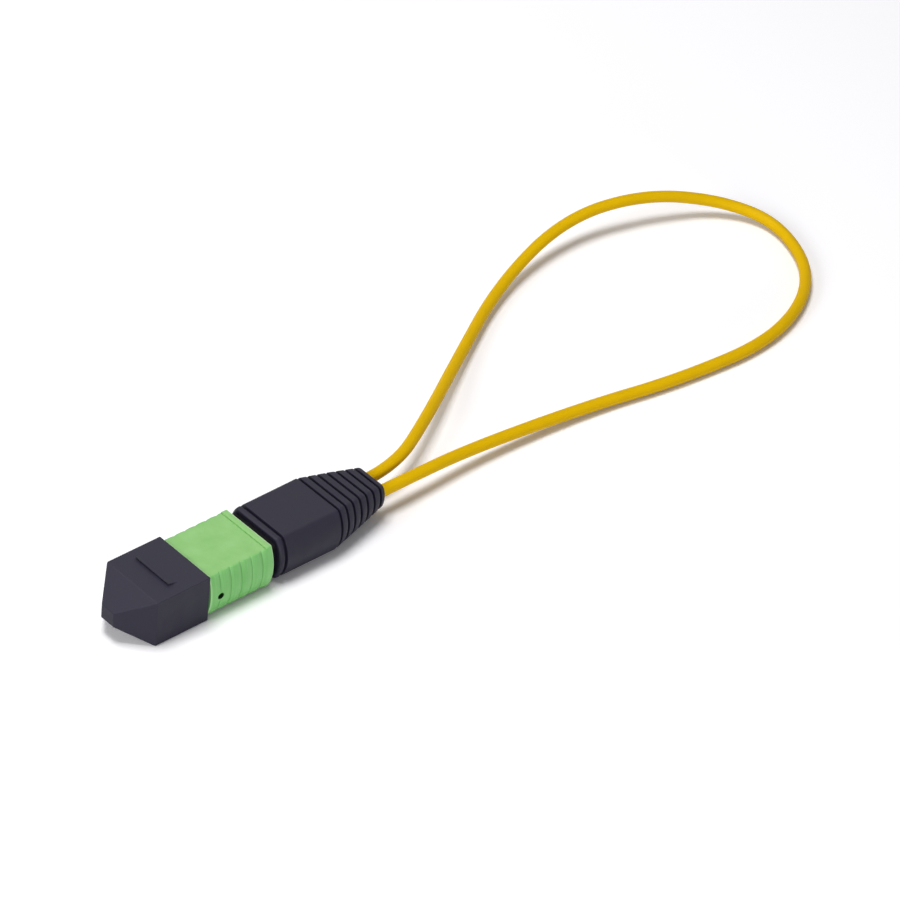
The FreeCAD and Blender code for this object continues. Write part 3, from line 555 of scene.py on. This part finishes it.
cap = add_block("dust_cap_shell", (CAP_SHOULDER, -CAP_WIDTH / 2, 0), (CAP_MOUTH, CAP_WIDTH / 2, CAP_HEIGHT))
pick(cap, "FACE", lambda face: face.normal.x < -0.9)
bpy.ops.mesh.extrude_region_move(TRANSFORM_OT_translate={"value": (CAP_NOSE - CAP_SHOULDER, 0, 0)})
bpy.ops.transform.resize(
    value=(1, TIP_WIDTH / CAP_WIDTH, TIP_HEIGHT / CAP_HEIGHT), center_override=(CAP_NOSE, 0, AXIS_Z)
)
settle()

# %% The cap's grip step
GRIP_FRONT, GRIP_LENGTH, GRIP_LEFT, GRIP_RIGHT, GRIP_HEIGHT = CAP_MOUTH - 6.45, 2, -3.85, 4.2, 0.45
GRIP_SLOPE, GRIP_UNDERCUT = 0.5, 0.4
grip = add_block(
    "grip", (GRIP_FRONT, GRIP_LEFT, CAP_HEIGHT - 0.1),
    (GRIP_FRONT + GRIP_LENGTH, GRIP_RIGHT, CAP_HEIGHT + GRIP_HEIGHT),
)
pick(grip, "EDGE", lambda edge: all(v.co.x > GRIP_FRONT + 1 and v.co.z > CAP_HEIGHT for v in edge.verts))
bpy.ops.transform.translate(value=(0, 0, -GRIP_SLOPE))
pick(grip, "EDGE", lambda edge: all(v.co.x < GRIP_FRONT + 1 and v.co.z < CAP_HEIGHT for v in edge.verts))
bpy.ops.transform.translate(value=(GRIP_UNDERCUT, 0, 0))
settle()
carve(cap, grip, "UNION")

# %% The cap's socket
SOCKET_END, POCKET_END = CAP_MOUTH - 9.9, CAP_NOSE + 1.6
SOCKET_WIDTH, SOCKET_HEIGHT, POCKET_WIDTH, POCKET_HEIGHT = 9.8, 6.3, 1.2, 1.0
CAP_WALL, KEY_SLOT_LENGTH, KEY_SLOT_HALF, KEY_SLOT_TOP = 1.05, 5.45, 1.6, 3.7
pick(cap, "FACE", lambda face: face.normal.x > 0.9 and face.calc_center_median().x > CAP_MOUTH - 0.1)
bpy.ops.mesh.inset(thickness=CAP_WALL)
bpy.ops.transform.resize(
    value=(1, SOCKET_WIDTH / (CAP_WIDTH - 2 * CAP_WALL), SOCKET_HEIGHT / (CAP_HEIGHT - 2 * CAP_WALL)),
    center_override=(CAP_MOUTH, 0, AXIS_Z),
)
bpy.ops.mesh.extrude_region_move(TRANSFORM_OT_translate={"value": (SOCKET_END - CAP_MOUTH, 0, 0)})
bpy.ops.mesh.extrude_region_move(TRANSFORM_OT_translate={"value": (POCKET_END - SOCKET_END, 0, 0)})
bpy.ops.transform.resize(
    value=(1, POCKET_WIDTH / SOCKET_WIDTH, POCKET_HEIGHT / SOCKET_HEIGHT),
    center_override=(POCKET_END, 0, AXIS_Z),
)
settle()
cut_box(cap, CAP_MOUTH - KEY_SLOT_LENGTH, CAP_MOUTH + 1, -KEY_SLOT_HALF, KEY_SLOT_HALF, 2, KEY_SLOT_TOP)
round_edges(cap, 0.14, segments=4, angle=20)
finish_piece(cap, "cap", "charcoal_moulding", "dust_cap")

# %% [markdown]
# ## The housing and the ferrule
# With the cap off, the housing shows: the straight black body that goes into a port, with a key on top
# and a notch in each side for the port's hooks. In its mouth sits the ferrule, a small block of filled
# resin with two guide holes and, between them, the ends of twelve glass fibres. Its face leans back by
# eight degrees. Both are mouldings with crisp edges and flat sides, so they are cut from blocks as a
# toolmaker would cut the first sample, and a fine bevel takes the sharpness off.

# %% The inner housing
HOUSING_FRONT, HOUSING_REAR = (corner.x for corner in box_mm("inner_housing"))
FERRULE_FACE, FERRULE_REAR, KEEPER_REAR = HOUSING_FRONT - 0.5, -9.375, -6.975
FERRULE_STOP = FERRULE_REAR - 2.0
SPRING_STOP = 0.675
WINDOW_FRONT, WINDOW_REAR, WINDOW_HALF = -4.475, -2.875, 2.1
HOUSING_HALF_WIDTH, HOUSING_HALF_HEIGHT, FRONT_CHAMFER = 4.8, 3.05, 0.4
KEY_FRONT, KEY_REAR, KEY_HALF, KEY_TOP = HOUSING_FRONT + 1, HOUSING_FRONT + 5, 1.5, 3.6
NOTCH_FRONT, NOTCH_REAR, NOTCH_FLOOR, NOTCH_HALF = HOUSING_FRONT + 2.6, HOUSING_FRONT + 5, 3.9, 1.8
SPRING_FLOOR, PAST_SIDE, PAST_TOP = 4.25, 6, 4

housing = centred_block(
    "inner_housing_shell", HOUSING_FRONT, HOUSING_REAR, HOUSING_HALF_WIDTH, HOUSING_HALF_HEIGHT
)
pick(housing, "EDGE", lambda edge: all(v.co.x < HOUSING_FRONT + 0.01 for v in edge.verts))
bpy.ops.mesh.bevel(offset=FRONT_CHAMFER, segments=1, affect="EDGES")
settle()
key = add_block("key", (KEY_FRONT, -KEY_HALF, AXIS_Z), (KEY_REAR, KEY_HALF, AXIS_Z + KEY_TOP))
carve(housing, key, "UNION")
# The mouth for the ferrule's front, the wider cavity behind it, and the latch windows above and below.
carve(housing, centred_block("mouth", HOUSING_FRONT - 1, FERRULE_STOP + 0.1, 3.3, 1.35))
carve(housing, centred_block("cavity", FERRULE_STOP, HOUSING_REAR + 1, 3.75, 2.15))
carve(housing, centred_block("windows", WINDOW_FRONT, WINDOW_REAR, WINDOW_HALF, PAST_TOP))
for side in (-1, 1):
    # A notch for the port's hook, and a channel for the small spring and the sleeve's lug.
    near, far = sorted((side * NOTCH_FLOOR, side * PAST_SIDE))
    cut_box(housing, NOTCH_FRONT, NOTCH_REAR, near, far, -NOTCH_HALF, NOTCH_HALF)
    near, far = sorted((side * SPRING_FLOOR, side * PAST_SIDE))
    cut_box(housing, LUG_FRONT, SPRING_STOP, near, far, -CHANNEL_HALF, CHANNEL_HALF)
round_edges(housing, 0.07, segments=2)
finish_piece(housing, "plug", "housing_moulding", "inner_housing")

# %% The ferrule
GLASS_END = FERRULE_FACE + 3.2
FERRULE_HALF, FACE_ANGLE = 1.25, 8
GUIDE_DIAMETER, GUIDE_OFFSET = 0.7, 2.3
FIBRE_COUNT, FIBRE_PITCH, FIBRE_BORE = 12, 0.25, 0.135

ferrule = centred_block("ferrule_block", FERRULE_FACE, FERRULE_REAR, 3.2, FERRULE_HALF)
for up in (-1, 1):
    pick(ferrule, "EDGE", lambda edge: all(
        v.co.x < FERRULE_STOP and (v.co.z - AXIS_Z) * up > 0 for v in edge.verts
    ))
    bpy.ops.transform.translate(value=(-up * FERRULE_HALF * math.tan(math.radians(FACE_ANGLE)), 0, 0))
settle()
carve(ferrule, centred_block("flange", FERRULE_STOP, FERRULE_REAR, 3.6, 1.6), "UNION")
round_edges(ferrule, 0.06, segments=2)
# The space for the guard in the tail, and the window on top through which the adhesive goes in.
carve(ferrule, centred_block("tail_space", GLASS_END, FERRULE_REAR + 1, 1.8, 0.7))
cut_box(ferrule, GLASS_END, GLASS_END + 1.8, -1.6, 1.6, 0, 3)
for side in (-1, 1):
    carve(ferrule, add_rod(
        "guide_hole", FERRULE_FACE - 1, FERRULE_REAR + 1, GUIDE_DIAMETER, side * GUIDE_OFFSET, sides=40
    ))
for number in range(FIBRE_COUNT):
    offset = (number - 5.5) * FIBRE_PITCH
    carve(ferrule, add_rod("fibre_bore", FERRULE_FACE - 1, GLASS_END + 0.1, FIBRE_BORE, offset, sides=12))
finish_piece(ferrule, "ferrule_group", "ferrule_resin", "ferrule")

# %% [markdown]
# A block of soft rubber sits in the ferrule's tail, so that the fibres don't bend over a hard edge. It is a
# block too, but rubber has no crisp edges, so its bevel is wide. A flat slot lets the row of fibres through.

# %% The soft guard in the ferrule's tail
guard = centred_block("bend_guard", FERRULE_REAR - 2.2, KEEPER_REAR + 0.8, 1.75, 0.65)
round_edges(guard, 0.2, segments=4)
carve(guard, centred_block("fibre_slot", FERRULE_REAR - 3, KEEPER_REAR + 2, 1.6, 0.175))
finish_piece(guard, "ferrule_group", "soft_rubber", "ferrule_boot")

# %% [markdown]
# ## Springs and fibres
# Inside, an oval spring pushes the ferrule forward and two small round ones push the sleeve. A coil could
# be a helix of flat facets, as in the solid model. Here a line is wound in code, given a round bevel as a
# curve, and made a mesh.

# %% Helpers for wound lines and tubes
TURN_STEPS, CLOSING, WELD_M = 28, 0.8, 0.000001


def wound(name, x0, x1, width, height, wire, turns, offset):
    """A coil of round wire whose first and last turns lie closed, as ground springs have them."""
    steps = round(turns * TURN_STEPS)
    points = []
    for step in range(steps + 1):
        share = step / steps
        angle = 2 * math.pi * turns * share
        closed = share - math.sin(2 * math.pi * share) / (2 * math.pi) * CLOSING
        x = x0 + wire / 2 + (x1 - x0 - wire) * closed
        points.append((
            x, offset + (width - wire) / 2 * math.cos(angle), AXIS_Z + (height - wire) / 2 * math.sin(angle)
        ))
    return tube(name, [points], wire)


def tube(name, lines, diameter, sides=10, smoothness=2):
    """Mesh tubes along smooth lines, closed at both ends, as one piece."""
    line = spline_through(name, *lines)
    for spline in line.data.splines:
        spline.resolution_u = smoothness
    line.data.bevel_depth = diameter / 2
    line.data.bevel_resolution = sides // 2 - 1
    line.data.use_fill_caps = True
    take(line)
    bpy.ops.object.convert(target="MESH")
    piece = bpy.context.object
    piece.data.name = name
    bpy.ops.object.mode_set(mode="EDIT")
    bpy.ops.mesh.select_all(action="SELECT")
    bpy.ops.mesh.remove_doubles(threshold=WELD_M)
    bpy.ops.mesh.normals_make_consistent(inside=False)
    settle()
    take(piece)
    bpy.ops.object.shade_smooth_by_angle(angle=math.radians(50))
    print(name, "faces", len(piece.data.polygons))
    return piece


# %% The springs
PUSH_FRONT = -0.825
for name, side in (("left", -1), ("right", 1)):
    spring = wound(
        f"coupling_coil_{name}", LUG_REAR, SPRING_STOP, width=1.2, height=1.2, wire=0.22, turns=7,
        offset=side * 4.95,
    )
    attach(spring, "plug")
    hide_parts(f"coupling_spring_{name}")
    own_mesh(spring)
spring = wound(
    "ferrule_coil", KEEPER_REAR, PUSH_FRONT, width=6.2, height=3.0, wire=0.45, turns=5.5, offset=0
)
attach(spring, "plug")
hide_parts("ferrule_spring")
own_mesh(spring)

# %% [markdown]
# The aramid yarn takes the pull on the cable. Each cable end's yarn is spread round its half of the crimp
# barrel, under the crimp ring, and gathers to a bundle where it comes out of the jacket. A band would look
# like sheet metal, so it is made as many thin strands that sway a little.

# %% The yarn
YARN_FRONT, BARREL_REAR = box_mm("crimp_ring")[0].x, box_mm("spring_push")[1].x
YARN_RADIUS, YARN_COUNT = 2.395, 22
YARN_SPREAD, STRAND_DIAMETER = math.radians(164), 0.14


def yarn_strand(number, side):
    """The points of one strand, from under the crimp ring to the cable's jacket."""
    share = (number + 0.5) / YARN_COUNT - 0.5
    sway = 0.05 * math.sin(5.1 * number + side)
    on_barrel = [(YARN_FRONT, 0), (5.0, sway), (7.4, -sway), (BARREL_REAR - 0.3, 0), (BARREL_REAR + 0.2, 0)]
    points = []
    for x, turn in on_barrel:
        angle = YARN_SPREAD * share + turn
        points.append((x, side * YARN_RADIUS * math.cos(angle), AXIS_Z + YARN_RADIUS * math.sin(angle)))
    bundle_y = side * (2.3 + (number % 3 - 1) * 0.13)
    points.append((BARREL_REAR + 1.7, bundle_y, AXIS_Z + share * 1.6))
    points.append((CABLE_END, bundle_y, AXIS_Z + share))
    return points


for name, side in (("left", -1), ("right", 1)):
    lines = [yarn_strand(number, side) for number in range(YARN_COUNT)]
    strands = tube(f"yarn_{name}", lines, STRAND_DIAMETER, sides=6, smoothness=5)
    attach(strands, "plug")
    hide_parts(f"aramid_{name}")

# %% [markdown]
# ## Finishes
# A finish is a small recipe of nodes. One class wraps a node's output, so that a sum written in Python
# adds the Math nodes for it, and one method adds any other node.

# %% The class for shader maths
class Level:
    """A value that varies over a surface: a node's output, on which +, - and * add Math nodes."""

    def __init__(self, finish, socket):
        self.finish, self.socket = finish, socket

    def sum(self, operation, first, second):
        """One Math node."""
        return self.finish.add("ShaderNodeMath", {"operation": operation}, {0: first, 1: second})

    def __add__(self, other):
        return self.sum("ADD", self, other)

    def __sub__(self, other):
        return self.sum("SUBTRACT", self, other)

    def __rsub__(self, other):
        return self.sum("SUBTRACT", other, self)

    def __mul__(self, other):
        return self.sum("MULTIPLY", self, other)

    __radd__ = __add__
    __rmul__ = __mul__


class Finish:
    """A material in the making. Its shader is the node that gives the surface its look."""

    def __init__(self, name, tree=None):
        if tree is None:
            self.material = bpy.data.materials.new(name)
            self.material.use_nodes = True
            tree = self.material.node_tree
        self.nodes, self.links = tree.nodes, tree.links
        self.shader = self.nodes.get("Principled BSDF")

    def feed(self, socket, value):
        """Links a level to a socket, or sets the socket to a plain value."""
        if isinstance(value, Level):
            self.links.new(value.socket, socket)
        else:
            socket.default_value = value

    def add(self, kind, settings=None, sockets=None, output=0):
        """Adds a node: its settings first, then its sockets, and gives one of its outputs."""
        node = self.nodes.new(kind)
        for name, value in (settings or {}).items():
            setattr(node, name, value)
        for name, value in (sockets or {}).items():
            self.feed(node.inputs[name], value)
        return Level(self, node.outputs[output])

    def place(self, stretch=(1, 1, 1)):
        """The place on the piece, stretched so that a pattern is drawn out where the number is small."""
        place = self.add("ShaderNodeTexCoord", output="Object")
        return self.add("ShaderNodeVectorMath", {"operation": "MULTIPLY"}, {0: place, 1: stretch})

    def noise(self, size_mm, stretch=(1, 1, 1), detail=3.0):
        """A cloudy level from 0 to 1 whose spots are about this many millimetres across."""
        return self.add("ShaderNodeTexNoise", {}, {
            "Vector": self.place(stretch), "Scale": 1 / (size_mm * MM), "Detail": detail,
        })

    def rise(self, level, low, high):
        """0 where the level is below one number, 1 above another, and an even slope between."""
        return self.add("ShaderNodeMapRange", {}, {"Value": level, "From Min": low, "From Max": high})

    def blend(self, level, first, second):
        """One colour where the level is 0 and another where it is 1, by the Mix node's colour sockets."""
        first, second = (colour if isinstance(colour, Level) else (*colour, 1) for colour in (first, second))
        return self.add("ShaderNodeMix", {"data_type": "RGBA"}, {0: level, 6: first, 7: second}, output=2)

    def surface(self, colour, roughness, height, depth_mm, **constants):
        """Feeds the shader: colour, roughness and height may vary, the rest are constants."""
        self.feed(self.shader.inputs["Base Color"], colour)
        self.feed(self.shader.inputs["Roughness"], roughness)
        for name, value in constants.items():
            self.shader.inputs[name.replace("_", " ")].default_value = value
        bump = self.add("ShaderNodeBump", {}, {"Height": height, "Distance": depth_mm * MM, "Strength": 1.0})
        self.feed(self.shader.inputs["Normal"], bump)
        return self.material


# %% [markdown]
# The cap and the boot are black plastic from a spark-eroded mould: a fine matt grain, with a cloudy
# unevenness in its gloss. One flat colour would look like paint. Two noises, one as fine as the grain and
# one as wide as the clouds, blend two near shades, and the same two raise the surface by about a hundredth
# of a millimetre. The inner mouldings differ only in shade, grain and gloss.

# %% Moulded plastics
def moulding(name, dark, light, roughness, grain_mm, depth_mm, gloss=0.25):
    """A moulded plastic between two shades, with a fine grain and a cloudy, matt gloss."""
    finish = Finish(name)
    cloud = finish.noise(2.2, detail=4.0)
    grain = finish.noise(grain_mm)
    colour = finish.blend(cloud * 0.7 + grain * 0.3, dark, light)
    return finish.surface(
        colour, roughness + (cloud - 0.5) * 0.25, grain + cloud * 0.6, depth_mm, Specular_IOR_Level=gloss
    )


charcoal = moulding(
    "charcoal_moulding", (0.003, 0.002, 0.011), (0.013, 0.012, 0.027),
    roughness=0.60, grain_mm=0.12, depth_mm=0.008, gloss=0.33,
)
boot_black = moulding(
    "boot_moulding", (0.002, 0.001, 0.009), (0.011, 0.010, 0.024),
    roughness=0.60, grain_mm=0.10, depth_mm=0.010, gloss=0.32,
)
housing_black = moulding(
    "housing_moulding", (0.003, 0.003, 0.004), (0.008, 0.008, 0.010),
    roughness=0.5, grain_mm=0.10, depth_mm=0.006, gloss=0.12,
)
resin = moulding(
    "ferrule_resin", (0.05, 0.05, 0.055), (0.10, 0.10, 0.11), roughness=0.45, grain_mm=0.06, depth_mm=0.004
)
rubber = moulding(
    "soft_rubber", (0.012, 0.012, 0.012), (0.024, 0.024, 0.024), roughness=0.7, grain_mm=0.08, depth_mm=0.006
)
print("mouldings", [finish.name for finish in (charcoal, boot_black, housing_black, resin, rubber)])

# %% [markdown]
# The sleeve's green is the same kind of plastic, with more to see: the mould's tool marks across its
# bulging sides, a top painted paler than the sides as painted light, painted shade in the creases between
# the ribs, painted highlights along the front and rear edges, and painted shade in the marking hole. These
# could be painted by hand on a picture. Each is a mask instead, worked out from the place on the piece with
# the numbers that shaped it, so that the paint lands where the shape is.

# %% Masks for the green
finish = Finish("green_moulding")
cloud = finish.noise(2.5, detail=4.0)
grain = finish.noise(0.1)
marks = finish.noise(0.3, stretch=(1, 0.03, 0.03))
along, across = (finish.add("ShaderNodeSeparateXYZ", {}, {0: finish.place()}, output=name) for name in "XY")
off_middle = finish.add("ShaderNodeMath", {"operation": "ABSOLUTE"}, {0: across})
on_side = finish.rise(off_middle, 5.0 * MM, 5.5 * MM)

# Masks for the painted highlights: thin bands along the sleeve's rear and front edges.
rear_edge_highlight = finish.rise(along, (SLEEVE_REAR - 0.26) * MM, (SLEEVE_REAR - 0.14) * MM)
rear_edge_highlight = rear_edge_highlight * (1 - finish.rise(along, (SLEEVE_REAR - 0.06) * MM, SLEEVE_REAR * MM))
front_edge_highlight = finish.rise(along, SLEEVE_FRONT * MM, (SLEEVE_FRONT + 0.06) * MM)
front_edge_highlight = front_edge_highlight * (1 - finish.rise(along, (SLEEVE_FRONT + 0.1) * MM, (SLEEVE_FRONT + 0.35) * MM))
off_hole = finish.add(
    "ShaderNodeVectorMath", {"operation": "DISTANCE"},
    {0: finish.place((1, 0, 1)), 1: (HOLE_X * MM, 0, (AXIS_Z + HOLE_Z) * MM)}, output="Value",
)
# Mask for the painted shade inside the marking hole, on the left wall only.
hole_shade = 1 - finish.rise(off_hole, (HOLE_DIAMETER / 2 + 0.02) * MM, (HOLE_DIAMETER / 2 + 0.07) * MM)
hole_shade = hole_shade * (1 - finish.rise(across, -5.1 * MM, -5.0 * MM))

# Mask for the painted shade in the creases between the ribs, kept clear of the marking hole.
along_ribs = (along - (SLEEVE_FRONT + RIB_START) * MM) * (1 / (RIB_PITCH * MM))
off_crease = finish.add("ShaderNodeMath", {"operation": "PINGPONG"}, {0: along_ribs, 1: 0.5})
crease_shade = 1 - finish.rise(off_crease, 0.01, 0.05)
crease_shade = crease_shade * (1 - finish.rise(along_ribs, RIB_COUNT + 0.3, RIB_COUNT + 0.4))
crease_shade = crease_shade * finish.rise(off_hole, HOLE_KEPT_CLEAR * MM, CREASE_BACK * MM)
print("masks take", len(finish.nodes), "nodes")

# %% The sleeve's green
# Painted light: the top gets paler shades, as if lit from above, and the sides darker ones, as if in shade;
# the sides also carry the mould's tool marks.
top = finish.blend(cloud, (0.187, 0.442, 0.122), (0.298, 0.552, 0.210))
streaks = finish.rise(marks, 0.3, 0.7)
side = finish.blend(cloud * 0.5 + streaks * 0.5, (0.132, 0.418, 0.096), (0.228, 0.545, 0.186))
colour = finish.blend(on_side, top, side)
# Painted shade: a darker green in the creases between the ribs, on the sides only.
colour = finish.blend(crease_shade * on_side * 0.7, colour, (0.070, 0.300, 0.055))
# Painted highlight: a pale green along the rear edge, and fainter along the front edge.
colour = finish.blend(rear_edge_highlight * 0.75 + front_edge_highlight * 0.35, colour, (0.62, 0.80, 0.52))
# Painted shade: a near-black green inside the marking hole.
colour = finish.blend(hole_shade, colour, (0.004, 0.030, 0.004))
green = finish.surface(
    colour, 0.42 + (cloud - 0.5) * 0.2, grain * 0.15 + marks * on_side, 0.05, Specular_IOR_Level=0.35,
)
print("the green takes", len(finish.nodes), "nodes")

# %% [markdown]
# The cable's jacket is soft yellow plastic. The extruder leaves it smooth, with slight changes of shade and
# a faint unevenness. It is nearly matt, so its shine is kept low. The jacket winds through all directions,
# and a noise in space looks the same on every stretch of it, which streaks along one axis wouldn't.

# %% The jacket
finish = Finish("yellow_jacket")
cloud = finish.noise(3.0, detail=4.0)
grain = finish.noise(0.15)
yellow = finish.surface(
    finish.blend(cloud * 0.7 + grain * 0.3, (0.61, 0.375, 0.0005), (0.74, 0.450, 0.001)),
    0.5 + (cloud - 0.5) * 0.2, grain + cloud * 2, 0.006, Specular_IOR_Level=0.06,
)
print("jacket", yellow.name)

# %% [markdown]
# The small parts inside are metal, yarn, adhesive and glass. Metal is told by its scratches: a noise that
# is stretched along the way the metal was drawn or rolled. The yarn has fine strands, the adhesive is an
# amber with a wet coat, and the glass lets light through.

# %% Metals
def metal(name, dark, light, roughness, stretch):
    """A drawn or rolled metal, its fine scratches running along the small numbers of the stretch."""
    finish = Finish(name)
    streaks = finish.noise(0.05, stretch=stretch)
    return finish.surface(
        finish.blend(streaks, dark, light), roughness + streaks * 0.15, streaks, 0.002, Metallic=1.0
    )


keeper_steel = metal("keeper_steel", (0.48, 0.48, 0.49), (0.64, 0.64, 0.65), 0.28, (1, 0.05, 1))
spring_steel = metal("spring_steel", (0.42, 0.42, 0.43), (0.60, 0.60, 0.61), 0.25, (1, 1, 0.2))
brass = metal("crimp_brass", (0.60, 0.46, 0.22), (0.78, 0.62, 0.34), 0.30, (0.06, 1, 1))
print("metals", [finish.name for finish in (keeper_steel, spring_steel, brass)])

# %% Yarn, adhesive and glass
finish = Finish("aramid_yarn")
strands = finish.noise(0.08, stretch=(0.04, 1, 1))
yarn = finish.surface(
    finish.blend(strands, (0.55, 0.38, 0.08), (0.85, 0.68, 0.26)), 0.6 + strands * 0.2, strands, 0.03,
    Sheen_Weight=0.4,
)

finish = Finish("adhesive")
cloud = finish.noise(0.6)
adhesive = finish.surface(
    finish.blend(cloud, (0.36, 0.18, 0.03), (0.52, 0.30, 0.08)), 0.15 + cloud * 0.1, cloud, 0.01,
    Coat_Weight=0.6,
)

finish = Finish("fibre_glass")
cloud = finish.noise(0.05)
glass = finish.surface(
    finish.blend(cloud, (0.82, 0.86, 0.88), (0.92, 0.95, 0.97)), 0.05 + cloud * 0.05, cloud, 0.001,
    Transmission_Weight=0.7, IOR=1.46,
)
print("others", [finish.name for finish in (yarn, adhesive, glass)])

# %% [markdown]
# Each fibre has a thin soft coating in its own colour, by the order that cable makers share. From the
# ferrule the twelve run back side by side, and then part into two groups of six, one for each cable end.
# They could be one ribbon, but bare coated fibres are loose, so each is a tube along its own smooth line.

# %% The fibres' colours
FIBRE_COLOURS = {
    "blue": (0.02, 0.12, 0.55), "orange": (0.75, 0.20, 0.01), "green": (0.02, 0.35, 0.08),
    "brown": (0.16, 0.06, 0.02), "slate": (0.18, 0.20, 0.22), "white": (0.75, 0.75, 0.72),
    "red": (0.60, 0.02, 0.02), "black": (0.01, 0.01, 0.01), "yellow": (0.75, 0.55, 0.02),
    "violet": (0.20, 0.05, 0.35), "rose": (0.70, 0.25, 0.32), "aqua": (0.05, 0.50, 0.50),
}


def coating(name, colour):
    """The soft coloured coating of one fibre, a little glossy."""
    finish = Finish(f"fibre_{name}")
    cloud = finish.noise(0.4)
    dark = tuple(part * 0.8 for part in colour)
    return finish.surface(finish.blend(cloud, dark, colour), 0.25 + cloud * 0.1, cloud, 0.002)


# %% The coated fibres
HALF_COUNT, FIBRE_DIAMETER = 6, 0.23
for number, (name, colour) in enumerate(FIBRE_COLOURS.items()):
    side = -1 if number < HALF_COUNT else 1
    y = (number - 5.5) * FIBRE_PITCH
    row, place = divmod(number % HALF_COUNT, 3)
    end = (
        CABLE_END, side * EXIT_OFFSET + (place - 1) * FIBRE_PITCH, AXIS_Z + (row - 0.5) * FIBRE_PITCH
    )
    half_way = ((BARREL_REAR + CABLE_END) / 2, (y + end[1]) / 2, (AXIS_Z + end[2]) / 2)
    line = [(GLASS_END, y, AXIS_Z), (-2, y, AXIS_Z), (BARREL_REAR, y, AXIS_Z), half_way, end]
    fibre = tube(f"fibre_{number + 1:02d}_{name}", [line], FIBRE_DIAMETER, sides=8)
    fibre.data.materials.append(coating(name, colour))
    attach(fibre, "plug")
    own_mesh(fibre)
    if number % HALF_COUNT == 0:
        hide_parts("coated_fibres_left" if side < 0 else "coated_fibres_right")

# %% [markdown]
# Now every piece gets its finish. The solid model's own parts that stay in view, such as the pin keeper and
# the crimp ring, keep their meshes, and only the material in their slots is changed.

# %% Finishes on their pieces
def paint(piece, material):
    """One finish for a whole piece."""
    piece.data.materials.clear()
    piece.data.materials.append(material)


paint(cable, yellow)
paint(sleeve, green)
paint(boot, boot_black)
paint(cap, charcoal)
paint(housing, housing_black)
paint(ferrule, resin)
paint(guard, rubber)
for piece in bpy.data.objects:
    if piece.name.startswith(("coupling_coil", "ferrule_coil")):
        paint(piece, spring_steel)
    if piece.name.startswith("yarn"):
        paint(piece, yarn)
NODE_FINISHES = {
    "spring_push": housing_black, "glass_fibres": glass, "adhesive_plug": adhesive,
    "pin_keeper": keeper_steel, "crimp_ring": brass,
}
for name, material in NODE_FINISHES.items():
    for slot in frame["nodes"][name].material_slots:
        slot.material = material
print("finishes", len(bpy.data.materials))

# %% [markdown]
# ## The studio
# The photograph was taken on white paper, in soft light from above. A square lamp over the plug gives the
# narrow soft shadow along its left side. A second one, lower and in front, lights the paper under the
# nose, and a weak wide one near the floor brings up the sides. Seen directly, the paper is a shade that
# these lamps bring to white, so that it still takes the shadow. Further off it shines by itself, because
# the lamps don't reach there.

# %% The paper
PAPER_SIZE, PAPER_MIDDLE, PAPER_DROP = 3, 0.05, 0.00003
LAMPS_REACH, SHINES_BEYOND = 0.15, 0.30


def seen_directly(finish):
    """1 for what the camera sees, straight, in a reflection or through glass, and 0 for other light."""
    kinds = ("Is Camera Ray", "Is Glossy Ray", "Is Transmission Ray")
    seen = [finish.add("ShaderNodeLightPath", output=kind) for kind in kinds]
    both = finish.add("ShaderNodeMath", {"operation": "MAXIMUM"}, {0: seen[0], 1: seen[1]})
    return finish.add("ShaderNodeMath", {"operation": "MAXIMUM"}, {0: both, 1: seen[2]})


settle()
bpy.ops.mesh.primitive_plane_add(size=PAPER_SIZE, location=(PAPER_MIDDLE, 0, -PAPER_DROP))
floor = bpy.context.object
floor.name = "floor"
finish = Finish("paper")
away = finish.add("ShaderNodeVectorMath", {"operation": "LENGTH"}, {0: finish.place()}, output="Value")
near = finish.add("ShaderNodeBsdfDiffuse", {}, {"Color": (1.06, 1.05, 1.07, 1)})
far = finish.add("ShaderNodeEmission", {}, {"Color": (1, 1, 1, 1), "Strength": 1.0})
beyond = finish.rise(away, LAMPS_REACH, SHINES_BEYOND)
shown = finish.add("ShaderNodeMixShader", {}, {0: beyond, 1: near, 2: far})
plain = finish.add("ShaderNodeBsdfDiffuse", {}, {"Color": (0.8, 0.8, 0.8, 1)})
mixed = finish.add("ShaderNodeMixShader", {}, {0: seen_directly(finish), 1: plain, 2: shown})
finish.feed(finish.nodes["Material Output"].inputs["Surface"], mixed)
floor.data.materials.append(finish.material)
print("paper", PAPER_SIZE, "m")

# %% The world
world = bpy.data.worlds.new("studio")
world.use_nodes = True
bpy.context.scene.world = world
finish = Finish("studio", world.node_tree)
fill = finish.add("ShaderNodeBackground", {}, {"Color": (0.97, 0.98, 1.0, 1), "Strength": 0.20})
white = finish.add("ShaderNodeBackground", {}, {"Color": (1, 1, 1, 1), "Strength": 1.0})
mixed = finish.add("ShaderNodeMixShader", {}, {0: seen_directly(finish), 1: fill, 2: white})
finish.feed(finish.nodes["World Output"].inputs["Surface"], mixed)
print("world", world.name)

# %% The lamps
LAMPS_AIM = Vector((0.02, 0, 0))


def area_lamp(name, place, size, energy):
    """A lamp of a width and height that is aimed at the plug."""
    light = bpy.data.lights.new(name, "AREA")
    light.shape = "RECTANGLE"
    light.size, light.size_y = size
    light.energy = energy
    lamp = bpy.data.objects.new(name, light)
    bpy.context.collection.objects.link(lamp)
    lamp.location = place
    lamp.rotation_euler = (LAMPS_AIM - lamp.location).to_track_quat("-Z", "Y").to_euler()
    print(name, "lamp", energy, "W")


area_lamp("key", (-0.05, 0.12, 0.74), (0.30, 0.30), 3.8)
area_lamp("front", (-0.60, 0.08, 0.38), (0.30, 0.30), 2.1)
area_lamp("fill", (-0.35, -0.75, 0.10), (0.60, 0.16), 2.9)
bpy.context.scene.view_settings.view_transform = "Standard"
